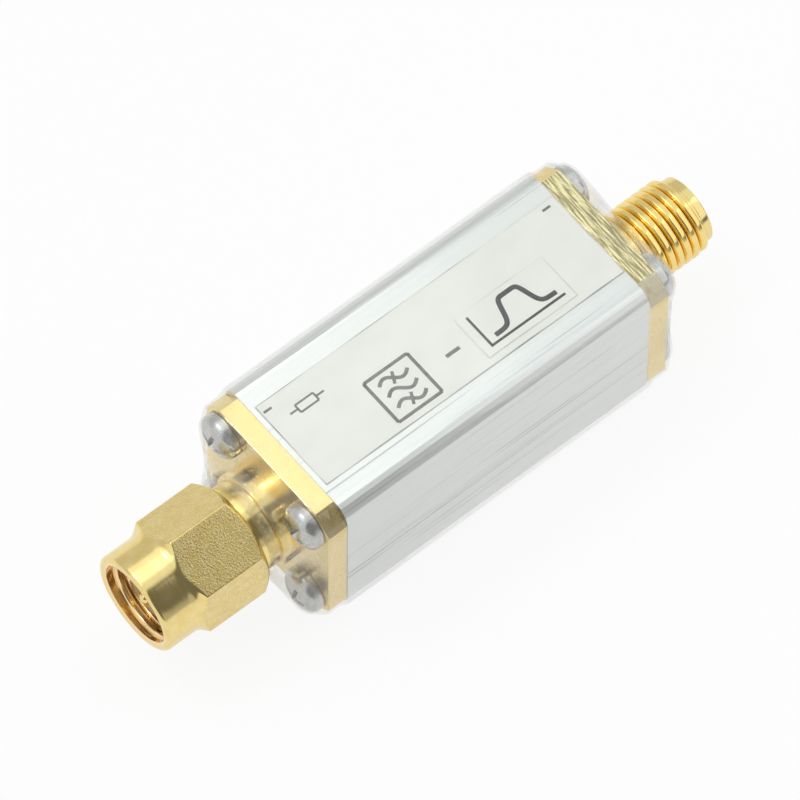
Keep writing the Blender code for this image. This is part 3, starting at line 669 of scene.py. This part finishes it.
def flange_mesh(name):
    """The flange plate with rounded edges, lying with its mounting face at height 0."""
    cut = HALF - FLANGE_CHAMFER
    outline = []
    for k, (x, y) in enumerate(CORNERS):
        ends = [(x * HALF, y * cut), (x * cut, y * HALF)]
        outline += ends if k % 2 == 0 else ends[::-1]
    rounds = [[(x * SCREW_OFFSET + HOLE_RADIUS * cos(a * TURN / 8),
                y * SCREW_OFFSET + HOLE_RADIUS * sin(a * TURN / 8)) for a in range(32)]
              for x, y in CORNERS]
    curve = bpy.data.curves.new(name, "CURVE")
    curve.dimensions = "2D"
    curve.fill_mode = "BOTH"
    curve.extrude = (FLANGE_TOP / 2 - FLANGE_EDGE) * MM
    curve.bevel_depth = FLANGE_EDGE * MM
    curve.bevel_resolution = 2
    curve.offset = -FLANGE_EDGE * MM
    for points in [outline] + rounds:
        spline = curve.splines.new("POLY")
        spline.points.add(len(points) - 1)
        for point, (x, y) in zip(spline.points, points):
            point.co = (x * MM, y * MM, 0, 1)
        spline.use_cyclic_u = True
    guide = in_scene(name, curve)
    mesh = evaluated(guide)
    drop(guide)
    mesh.transform(Matrix.Translation((0, 0, FLANGE_TOP / 2 * MM)))
    return mesh_of(faced_out(welded(mesh)), name)


JACK_HEIGHT, SOCKET_DEPTH, SOCKET_RADIUS, LINE_RADIUS = 9.35, 1.93, 2.3, 2.05
THREAD_OUTER, THREAD_ROOT, THREAD_TOP = 3.115, 2.72, 8.8
COLLAR_RADIUS = 2.665
THREAD_START, THREAD_TURNS = 2.82, 8

jack_profile = rounded(COLLAR_RADIUS, JACK_HEIGHT, 0.1) + [
    (COLLAR_RADIUS, THREAD_TOP - 0.05), (THREAD_ROOT, THREAD_TOP - 0.1),
    (THREAD_ROOT, FLANGE_TOP - 0.1), (LINE_RADIUS, FLANGE_TOP - 0.1),
    (LINE_RADIUS, JACK_HEIGHT - SOCKET_DEPTH),
    (SOCKET_RADIUS, JACK_HEIGHT - SOCKET_DEPTH), (SOCKET_RADIUS, JACK_HEIGHT - 0.12),
    (SOCKET_RADIUS + 0.12, JACK_HEIGHT)]
barrel = mesh_of(lathe(jack_profile), "jack_barrel", JACK_PLACE)
outer_thread = node_form("jack_thread", THREAD, {
    "Root Radius": THREAD_ROOT * MM, "Depth": (THREAD_OUTER - THREAD_ROOT) * MM,
    "Pitch": PITCH * MM, "Start Height": THREAD_START * MM, "Fade Turns": 0.25,
    "Turns": THREAD_TURNS, "Material": thread_gold})
outer_thread.transform(JACK_PLACE)
plate = flange_mesh("jack_flange")
plate.transform(JACK_PLACE)
for face in plate.polygons:  # the top and bottom edges are milled, the near chamfers get a darker, greyer gold
    slope = abs(face.normal.z)
    face.material_index = 1 if slope > 0.9 else 4 if slope > 0.6 and face.normal.y < 0 else 0
jack = piece("jack_shell", joined("jack_shell", [(None, plate), (3, barrel), (2, outer_thread)]),
             [smooth_gold, milled_gold, thread_gold, turned_gold, near_chamfer_gold])
settle(crisp(jack), "filter", "gold_plate", "jack_body")

# %% [markdown]
# The plug's body has the same flange. Behind the nut its barrel steps down twice, and the nut
# runs on it with a small gap. We turn it with round edges at each step, because these edges
# catch the light through the film.

# %% Plug body
COLLAR, COLLAR_TOP, NECK, NECK_TOP, BARREL, BARREL_TOP = 3.8, 3.2, 3.45, 4.6, 3.1, 8.7
TUBE_RADIUS, REFERENCE = 2.285, 10.95
GROOVE_LOW, GROOVE_TOP, GROOVE_RADIUS = 6.6, 7.15, 2.65

plug_profile = rounded(TUBE_RADIUS, REFERENCE, 0.05) + [(TUBE_RADIUS, BARREL_TOP)]
plug_profile += rounded(BARREL, BARREL_TOP, 0.12) + [
    (BARREL, GROOVE_TOP), (GROOVE_RADIUS, GROOVE_TOP), (GROOVE_RADIUS, GROOVE_LOW),
    (BARREL, GROOVE_LOW), (BARREL, NECK_TOP)]
plug_profile += rounded(NECK, NECK_TOP, 0.15) + [(NECK, COLLAR_TOP)]
plug_profile += rounded(COLLAR, COLLAR_TOP, 0.15) + [
    (COLLAR, FLANGE_TOP - 0.1), (LINE_RADIUS, FLANGE_TOP - 0.1),
    (LINE_RADIUS, REFERENCE)]
barrel = mesh_of(lathe(plug_profile), "plug_barrel", PLUG_PLACE)
plate = flange_mesh("plug_flange")
plate.transform(PLUG_PLACE)
plug = piece("plug_shell", joined("plug_shell", [(0, plate), (1, barrel)]),
             [smooth_gold, turned_gold])
settle(crisp(plug), "filter", "gold_plate", "plug_body")

# %% [markdown]
# The coupling nut is milled from a turned blank: a hexagon at the back, a round nose in front,
# and a concave flare between them that leaves a scallop on each flat. A boolean could cut the
# one with the other, but it leaves knife edges. Here each ring takes the least of the hexagon
# and the turned outline, blended over a hair's breadth, which rounds every edge as plating
# does. An attribute marks the milled flats, so that their finish can differ.

# %% Coupling nut
FLATS, NUT_BACK, NUT_FRONT, NOSE = 8.0, 4.7, 13.7, 3.95
NOSE_LENGTH, FLARE, RIM, BACK_CHAMFER, EDGE_BLEND = 2.5, 1.2, 0.4, 0.5, 0.03
FLARE_SWEEP, FACE_TURN, SECTOR = radians(64), radians(26.8), pi / 3
NUT_ROOT, NUT_THREAD, NUT_THREAD_LOW, BORE, MOUTH = 3.2, 2.86, 9.6, 3.2, 3.35
RING_GROOVE_RADIUS, RING_GROOVE_LOW, RING_GROOVE_TOP = 3.55, 6.5, 7.2
SKIN_RADIUS, SKIN_BLEND = 3.8, 0.08
CORNER = FLATS / sqrt(3)
SHOULDER = NUT_FRONT - NOSE_LENGTH
FLARE_LENGTH = FLARE * sin(FLARE_SWEEP)


def turned_reach(height):
    """Radius of the turned blank at a height."""
    back = NOSE + (height - NUT_BACK) * (CORNER - NOSE) / BACK_CHAMFER
    drop = SHOULDER - height
    if height > NUT_FRONT - RIM:
        front = NOSE - RIM + sqrt(max(RIM ** 2 - (height - NUT_FRONT + RIM) ** 2, 0))
    elif drop <= FLARE_LENGTH:
        front = NOSE + FLARE - sqrt(FLARE ** 2 - max(drop, 0) ** 2)
    else:
        front = (NOSE + FLARE * (1 - cos(FLARE_SWEEP))
                 + (drop - FLARE_LENGTH) * tan(FLARE_SWEEP))
    return min(back, front)


def flat_reaches(angle):
    """Distances to the nearest flat and to the one beside it."""
    off = abs((angle + FACE_TURN + SECTOR / 2) % SECTOR - SECTOR / 2)
    return FLATS / 2 / cos(off), FLATS / 2 / cos(SECTOR - off)


def soft_least(values, blend):
    """The least of some values, with a rounded change from one to the next."""
    return -blend * log(sum(exp(-value / blend) for value in values))


def spaced(start, stop, count):
    return [start + (stop - start) * k / count for k in range(count)]


angles = [sector * SECTOR - FACE_TURN + SECTOR / 2 * (1.5 * t - 0.5 * t ** 3)
          for sector in range(6) for t in spaced(-1, 1, 40)]
heights = spaced(NUT_BACK, NUT_BACK + 0.7, 14) + spaced(NUT_BACK + 0.7, SHOULDER - 1.3, 6)
heights += spaced(SHOULDER - 1.3, SHOULDER + 0.1, 30) + spaced(SHOULDER + 0.1, NUT_FRONT - RIM, 3)
heights += [NUT_FRONT - RIM + RIM * sin(TURN * k / 8) for k in range(9)]
rings = [[(soft_least((*flat_reaches(a), turned_reach(h)), EDGE_BLEND), h) for a in angles]
         for h in heights]
hollow = [(MOUTH, NUT_FRONT - 0.02), (NUT_ROOT, NUT_FRONT - 0.15), (NUT_ROOT, RING_GROOVE_TOP),
          (RING_GROOVE_RADIUS, RING_GROOVE_TOP), (RING_GROOVE_RADIUS, RING_GROOVE_LOW),
          (BORE, RING_GROOVE_LOW), (BORE, NUT_BACK + 0.1), (BORE + 0.1, NUT_BACK)]
rings += [[point] * len(angles) for point in hollow]

shell = bmesh.new()
grid = [[shell.verts.new((r * MM * cos(a), r * MM * sin(a), h * MM))
         for (r, h), a in zip(ring, angles)] for ring in rings]
for near, far in zip(grid, grid[1:] + grid[:1]):
    for k in range(len(angles)):
        shell.faces.new((near[k - 1], near[k], far[k], far[k - 1]))
nut_mesh = mesh_of(faced_out(shell), "nut_body")
inner_thread = node_form("nut_thread", THREAD, {
    "Root Radius": NUT_ROOT * MM, "Depth": (NUT_THREAD - NUT_ROOT) * MM, "Pitch": PITCH * MM,
    "Start Height": NUT_THREAD_LOW * MM, "Fade Turns": 0.15, "Turns": 5, "Material": nut_gold})
inner_thread.flip_normals()
nut_mesh = joined("nut_shell", [(0, nut_mesh), (0, inner_thread)])
milled = nut_mesh.attributes.new("milled", "FLOAT", "POINT")
for vertex, value in zip(nut_mesh.vertices, milled.data):
    x, y, h = (c / MM for c in vertex.co)
    outside = hypot(x, y) > SKIN_RADIUS
    depth = turned_reach(h) - flat_reaches(atan2(y, x))[0] if outside else 0
    value.value = min(max(depth / SKIN_BLEND - 0.5, 0), 1)
nut_mesh.transform(PLUG_PLACE)
nut = piece("nut_shell", nut_mesh, [nut_gold], 40)
settle(nut, "nut", "gold_plate", "coupling_nut")

# %% [markdown]
# Small parts close both lines: a white dielectric bead, the plug's pin, the jack's slotted
# contact and the nut's snap ring. Their CAD nodes, and the extrusion's, already have the right
# shape, but only flat facets. A merged copy, shaded by angle, looks round and keeps its size.

# %% Inner parts and the body
def merged_copy(node_name, name, material, slot, angle=32):
    """A copy of a CAD node that stands for it, its triangles merged and shaded by angle."""
    mesh = mesh_of(welded(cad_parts[node_name].data), name)
    settle(crisp(piece(name, mesh, [material], angle)), "filter", slot, node_name)


for node_name, material, slot in (
        ("plug_dielectric", white_dielectric, "dielectric"),
        ("jack_dielectric", white_dielectric, "dielectric"),
        ("plug_centre_pin", turned_gold, "gold_plate"),
        ("jack_centre_contact", turned_gold, "gold_plate"), ("snap_ring", plated_steel, "steel")):
    merged_copy(node_name, node_name + "_turned", material, slot)
merged_copy("housing_tube", "housing_extrusion", drawn_aluminium, "aluminium", 28)

# %% [markdown]
# The label is a strip of paper that runs up to the jack's flange. It is so thin that only its
# edges tell it from the metal, so a plain sheet with sharp edges does it, and the line of
# painted shade along its cut comes from the paper's material.

# %% Paper label
sheet = bmesh.new()
middle, span = (label_low + label_high) / 2, label_high - label_low
bmesh.ops.create_cube(
    sheet, size=1, matrix=Matrix.Translation(middle) @ Matrix.Diagonal((*span, 1)))
label = piece("label_sheet", mesh_of(sheet, "label_sheet"), [label_paper])
settle(label, "filter", "label_paper", "label")

# %% [markdown]
# Pan-head screws hold the flanges. Each is a turned dome on a shank, with a cross pressed into
# it. A bump could only darken the cross, so a Boolean cuts it out, with a tool that narrows
# towards its foot as the real recess does.

# %% Pan-head screw
HEAD_RADIUS, HEAD_HEIGHT, HEAD_SIDE = 1.8, 1.4, 0.45
SCREW_RADIUS, SCREW_LENGTH = 0.97, 5.0
CROSS_SPAN, CROSS_WIDTH, CROSS_TIP, CROSS_DEPTH = 0.98, 0.23, 0.15, 0.75
FOOT_SHARE, TOP_SHARE, TOP_RISE = 0.55, 1.4, 0.5

dome = [(HEAD_RADIUS * sin(TURN * k / 10),
         HEAD_SIDE + (HEAD_HEIGHT - HEAD_SIDE) * cos(TURN * k / 10)) for k in range(11)]
screw_profile = dome + [
    (HEAD_RADIUS, 0.06), (HEAD_RADIUS - 0.06, 0), (SCREW_RADIUS, 0),
    (SCREW_RADIUS, 0.5 - SCREW_LENGTH), (SCREW_RADIUS - 0.4, -SCREW_LENGTH), (0, -SCREW_LENGTH)]
screw = piece("screw_form", mesh_of(lathe(screw_profile, 48), "screw_form"), [plated_steel])
cross = bmesh.new()
arm = [(CROSS_SPAN, CROSS_TIP), (CROSS_WIDTH, CROSS_WIDTH), (CROSS_TIP, CROSS_SPAN)]
star = [Matrix.Rotation(quarter * TURN, 2) @ Vector(p) for quarter in range(4) for p in arm]
low, high = ([cross.verts.new((p.x * MM * share, p.y * MM * share, height * MM)) for p in star]
             for share, height in ((FOOT_SHARE, HEAD_HEIGHT - CROSS_DEPTH),
                                   (TOP_SHARE, HEAD_HEIGHT + TOP_RISE)))
cross.faces.new(low[::-1])
cross.faces.new(high)
for k in range(len(star)):
    cross.faces.new((low[k - 1], low[k], high[k], high[k - 1]))
recess = piece("screw_cross", mesh_of(faced_out(cross), "screw_cross"), [])
step = screw.modifiers.new("Recess", "BOOLEAN")
step.operation = "DIFFERENCE"
step.solver = "EXACT"
step.object = recess
screw_mesh = evaluated(screw)
drop(screw, recess)
screw_form = piece("screw_form", screw_mesh, [plated_steel], 30)
print("one screw has", len(screw_mesh.polygons), "faces")

# %% [markdown]
# All eight screws are equal, so one is made and Geometry Nodes set it out: a two-by-two grid
# gives the four corners, Instance on Points puts a screw on each, and a random turn with a
# fixed seed stops every recess at its own angle.

# %% Screw pattern
def screw_tree():
    """Geometry Nodes that set a screw on each corner of a square, turned at random."""
    tree, given = new_tree("Corner_Screws", (
        ("Screw", "Object"), ("Spacing", "Float"), ("Seat Height", "Float"),
        ("Seed", "Int"), ("Material", "Material")), "Screws")
    corners = node(tree, "GeometryNodeMeshGrid", {
        "Size X": given["Spacing"], "Size Y": given["Spacing"], "Vertices X": 2, "Vertices Y": 2})
    up = node(tree, "ShaderNodeCombineXYZ", {2: given["Seat Height"]})
    raised = node(tree, "GeometryNodeSetPosition", {"Geometry": corners, "Offset": up})
    turn = node(tree, "FunctionNodeRandomValue", {  # 2 and 3 are the limits of the float value
        2: 0.0, 3: TURN, "Seed": given["Seed"]}, data_type="FLOAT").outputs[1]
    spin = node(tree, "ShaderNodeCombineXYZ", {2: turn})
    shape = node(tree, "GeometryNodeObjectInfo", {"Object": given["Screw"]})
    placed = node(tree, "GeometryNodeInstanceOnPoints", {
        "Points": raised, "Instance": shape.outputs["Geometry"], "Rotation": spin})
    return closed_tree(tree, placed, given["Material"], "Screws")


SCREWS = screw_tree()
ends = []
for seed, place in ((3, PLUG_PLACE), (8, JACK_PLACE)):
    mesh = node_form("end_screws", SCREWS, {
        "Screw": screw_form, "Spacing": 2 * SCREW_OFFSET * MM,
        "Seat Height": (FLANGE_TOP + SEAT) * MM, "Seed": seed, "Material": plated_steel})
    mesh.transform(place)
    ends.append((0, mesh))
drop(screw_form)
screws = piece("pan_head_screws", joined("pan_head_screws", ends), [plated_steel], 30)
settle(crisp(screws), "filter", "steel",
       *[f"{end}_screw_{k + 1}" for end in ("plug", "jack") for k in range(4)])

# %% [markdown]
# The clear film is heat-shrink tube. It lies flat on the body, bulges over the screw heads,
# dips between them and gathers in small puckers where it ends on the barrels. It is a loft: a
# rounded square at each station along X, with its own size, corner and sag. A smooth curve
# through the stations makes it flow, and Solidify gives it its wall.

# %% Clear film
FILM, GAP = 0.12, 0.11
BODY_REACH = HALF + GAP
SNUG, FLANGE_WRAP = 0.06, 2.2
CROWN = HEAD_HEIGHT + SNUG


def over_head(height):
    """Radius of the film round a screw head, at a height above the flange."""
    rise = max(height - HEAD_SIDE, 0) / (CROWN - HEAD_SIDE)
    return (HEAD_RADIUS + SNUG) * sqrt(max(1 - rise ** 2, 0.08))


def film_end(mouth, mouth_reach, sag, gather):
    """Stations past a flange: distance, half size, corner radius, sag and pucker."""
    heads = ((0.5, 0.4, 0), (0.95, 0.9, 0), (1.25, 1, 0.15), (CROWN, 0.7, 0.4))
    return [(-FLANGE_TOP, BODY_REACH, 1.5, 0, 0),
            *[(h, BODY_REACH, FLANGE_WRAP, 0, 0) for h in (-1.1, -0.5, 0)],
            *[(h, SCREW_OFFSET + over_head(h), over_head(h), sag * share, gather * fold)
              for h, share, fold in heads],
            (CROWN + mouth_reach / 2, (SCREW_OFFSET + mouth) / 2, mouth * 0.7, 0, gather),
            (CROWN + mouth_reach, mouth, mouth, 0, gather * 0.75)]


def smooth_path(stations, count):
    """Points on a Catmull-Rom curve through the stations, all values at once."""
    path = []
    last = len(stations) - 1
    for i in range(last):
        p = [stations[max(0, min(last, i + k - 1))] for k in range(4)]
        for j in range(count):
            t = j / count
            path.append([0.5 * (2 * b + (c - a) * t + (2 * a - 5 * b + 4 * c - d) * t * t
                                + (3 * b - a - 3 * c + d) * t ** 3) for a, b, c, d in zip(*p)])
    return path + [list(stations[-1])]


def square_reach(angle, half, radius):
    """Distance from the axis to a square with round corners."""
    fold = abs((angle + pi / 4) % TURN - pi / 4)
    radius = min(radius, half)
    if fold <= atan2(half - radius, half):
        return half / cos(fold)
    centre = (half - radius) * sqrt(2)
    off = fold - pi / 4
    return centre * cos(off) + sqrt(max(radius ** 2 - (centre * sin(off)) ** 2, 0))


FILM_STEPS = 192
plug_side = [[tube_low.x / MM - SEAT - FLANGE_TOP - s[0]] + s[1:]
             for s in smooth_path(film_end(NECK + 0.25, 0.9, 0.8, 0.24), 5)]
jack_side = [[tube_high.x / MM + SEAT + FLANGE_TOP + s[0]] + s[1:]
             for s in smooth_path(film_end(THREAD_OUTER + 0.11, 0.3, 0.95, 0.1), 5)]
film = bmesh.new()
rings = []
for x, half, radius, sag, pucker in plug_side[::-1] + jack_side:
    ring = []
    half, sag, pucker = min(half, BODY_REACH), max(sag, 0), max(pucker, 0)
    for k in range(FILM_STEPS):
        angle = 2 * pi * k / FILM_STEPS
        reach = square_reach(angle, half, radius) - sag * cos(2 * angle) ** 2
        fold = noise.noise(Vector((cos(angle) * 3.4, sin(angle) * 3.4, x * 0.5)))
        reach += pucker * (fold + 0.6 * sin(17 * angle + 5 * fold)) - pucker * 0.4
        ring.append(film.verts.new((
            x * MM, reach * MM * cos(angle), reach * MM * sin(angle) + AXIS)))
    rings.append(ring)
for near, far in zip(rings, rings[1:]):
    for k in range(FILM_STEPS):
        film.faces.new((near[k - 1], far[k - 1], far[k], near[k]))
film_mesh = mesh_of(faced_out(film), "film_sheath")
print("film rings:", len(rings), "of", FILM_STEPS, "points")

# %% [markdown]
# A glass shader would bend light in a wall too thin to bend it. The film is a window instead,
# whose tint deepens where it is seen edge on, with a glossy layer that grows at the same
# angles. Layer Weight drives both, because it also works on the wall's inner side. Where the
# film gathers at its mouths it wrinkles and turns a little milky.

# %% Film material and wall
clear_film, tree, shader = new_material("Clear_Film")
far = calc(tree, "ABSOLUTE", axes_of(tree)["X"])
gathered = node(tree, "ShaderNodeMapRange", {
    "Value": far, "From Min": 14.5 * MM, "From Max": 16.5 * MM, "To Min": 0.08, "To Max": 1})
wrinkle = node(tree, "ShaderNodeBump", {
    "Height": noise_of(tree, (0.25, 0.6, 0.6), 3.0), "Distance": 0.08 * MM, "Strength": gathered})
feed(tree, shader, {"Base Color": (0.86, 0.86, 0.84, 1), "Roughness": 0.35, "Normal": wrinkle})
facing = node(tree, "ShaderNodeLayerWeight", {"Blend": 0.5, "Normal": wrinkle}).outputs["Facing"]
tint = ramp(tree, facing, [(0.8, (0.985, 0.985, 0.98)), (0.98, (0.78, 0.79, 0.8))])
window = node(tree, "ShaderNodeBsdfTransparent", {"Color": tint})
clouds = mottle(tree, (0.25, 0.4, 0.4), 3.0, (0.42, 0.01), (0.7, 0.11))
haze = calc(tree, "MULTIPLY", gathered, clouds)
cloudy = node(tree, "ShaderNodeMixShader", {0: haze, 1: window, 2: shader})
gloss = node(tree, "ShaderNodeBsdfGlossy", {
    "Color": (1, 1, 1, 1), "Roughness": 0.07, "Normal": wrinkle})
mirror = calc(tree, "MULTIPLY_ADD", calc(tree, "POWER", facing, 5), 0.7, 0.04)
skin = node(tree, "ShaderNodeMixShader", {0: mirror, 1: cloudy, 2: gloss})
feed(tree, tree.nodes["Material Output"], {"Surface": skin})

sheath = piece("film_sheath", film_mesh, [clear_film], 60)
wall = sheath.modifiers.new("Wall", "SOLIDIFY")
wall.thickness = FILM * MM
wall.offset = 1
wall_mesh = evaluated(sheath)
drop(sheath)
sheath = piece("film_sheath", wall_mesh, [clear_film], 60)
settle(sheath, "filter", "clear_film", "heat_shrink_sleeve")

# %% [markdown]
# The real label carries a type number, which a reusable part leaves out. In its place goes the
# drawing symbol that every filter of this kind shares: three waves, with the upper and the
# lower one struck through. The patch gets a plain response curve without numbers, and the ends
# get a resistor's symbol and small ticks. Each line is a flat ribbon that lies on the paper.

# %% Printed marks
INK_RISE, WAVE_STEPS, WAVE_GAP = 0.004, 24, 1.05
SYMBOL_X, SYMBOL_HALF, STRIKE_X, STRIKE_Y = -4.3, 1.95, 0.22, 0.45


def ribbon(shell, points, width, height):
    """A flat strip of ink along a path, in mm on the top face, at a height in metres."""
    sides = []
    for i, (x, y) in enumerate(points):
        back = Vector(points[max(i - 1, 0)])
        on = Vector(points[min(i + 1, len(points) - 1)])
        way = (on - back).normalized() * width / 2
        sides.append([shell.verts.new(((x + s * -way.y) * MM, (y + s * way.x) * MM, height))
                      for s in (1, -1)])
    for (a, b), (c, d) in zip(sides, sides[1:]):
        shell.faces.new((a, b, d, c))


def wave(centre_x, centre_y, length, swing):
    """One period of a sine, running along X."""
    return [(centre_x + length * (k / WAVE_STEPS - 0.5),
             centre_y + swing * sin(2 * pi * k / WAVE_STEPS))
            for k in range(WAVE_STEPS + 1)]


def outline(shell, corners, width, height):
    """A closed outline from straight strips."""
    for start, stop in zip(corners, corners[1:] + corners[:1]):
        ribbon(shell, [start, stop], width, height)


ink = bmesh.new()
top = label_high.z + INK_RISE * MM
row = (patch_low.y + patch_high.y) / 2 / MM
for k in (-1, 0, 1):
    level = row + k * WAVE_GAP
    ribbon(ink, wave(SYMBOL_X, level, 2.5, 0.34), 0.28, top)
    if k:
        ribbon(ink, [(SYMBOL_X - STRIKE_X, level - STRIKE_Y),
                     (SYMBOL_X + STRIKE_X, level + STRIKE_Y)], 0.24, top + 0.001 * MM)
outline(ink, [(SYMBOL_X + a * SYMBOL_HALF, row + b * SYMBOL_HALF)
              for a, b in ((-1, -1), (1, -1), (1, 1), (-1, 1))], 0.26, top + 0.0005 * MM)
ribbon(ink, [(-0.4, row), (0.8, row)], 0.3, top)
for x, y in ((-12.7, 3.2), (12.6, 3.4)):
    ribbon(ink, [(x - 0.35, y), (x + 0.35, y)], 0.2, top)
outline(ink, [(-11.0, 1.6), (-9.4, 1.6), (-9.4, 2.3), (-11.0, 2.3)], 0.16, top)
for x in (-11.7, -9.4):
    ribbon(ink, [(x, 1.95), (x + 0.7, 1.95)], 0.16, top)
faded_faces = len(ink.faces)

sticker = patch_high.z + INK_RISE * MM
left, right = patch_low.x / MM + 0.8, patch_high.x / MM - 0.8
low, high = patch_low.y / MM + 0.65, patch_high.y / MM - 0.65
curve_points = []
for k in range(49):
    t = k / 48
    pass_band = 1 / (1 + ((t - 0.5) / 0.21) ** 8)
    curve_points.append((
        left + 0.7 + (right - left - 0.9) * t, low + 0.5 + (high - low - 0.5) * pass_band))
ribbon(ink, curve_points, 0.38, sticker + 0.001 * MM)
ribbon(ink, [(left, low - 0.1), (left, high + 0.15)], 0.2, sticker)
ribbon(ink, [(left - 0.1, low), (right + 0.2, low)], 0.2, sticker)
ink.faces.ensure_lookup_table()
for face in ink.faces[faded_faces:]:
    face.material_index = 1
marks_mesh = mesh_of(ink, "printed_marks")
faded_ink = plain("Faded_Ink", (0.21, 0.21, 0.2), 0.12, 2.5, 0.5)
fresh_ink = plain("Fresh_Ink", 0.05, (0.025, 0.025, 0.027), 2.5, 0.5)
marks = piece("printed_marks", marks_mesh, [faded_ink, fresh_ink])
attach(marks, "filter")
print("printed marks:", len(marks_mesh.polygons), "faces")

# %% [markdown]
# The last cell sets the Standard view transform.

# %% View settings
bpy.context.scene.view_settings.view_transform = "Standard"
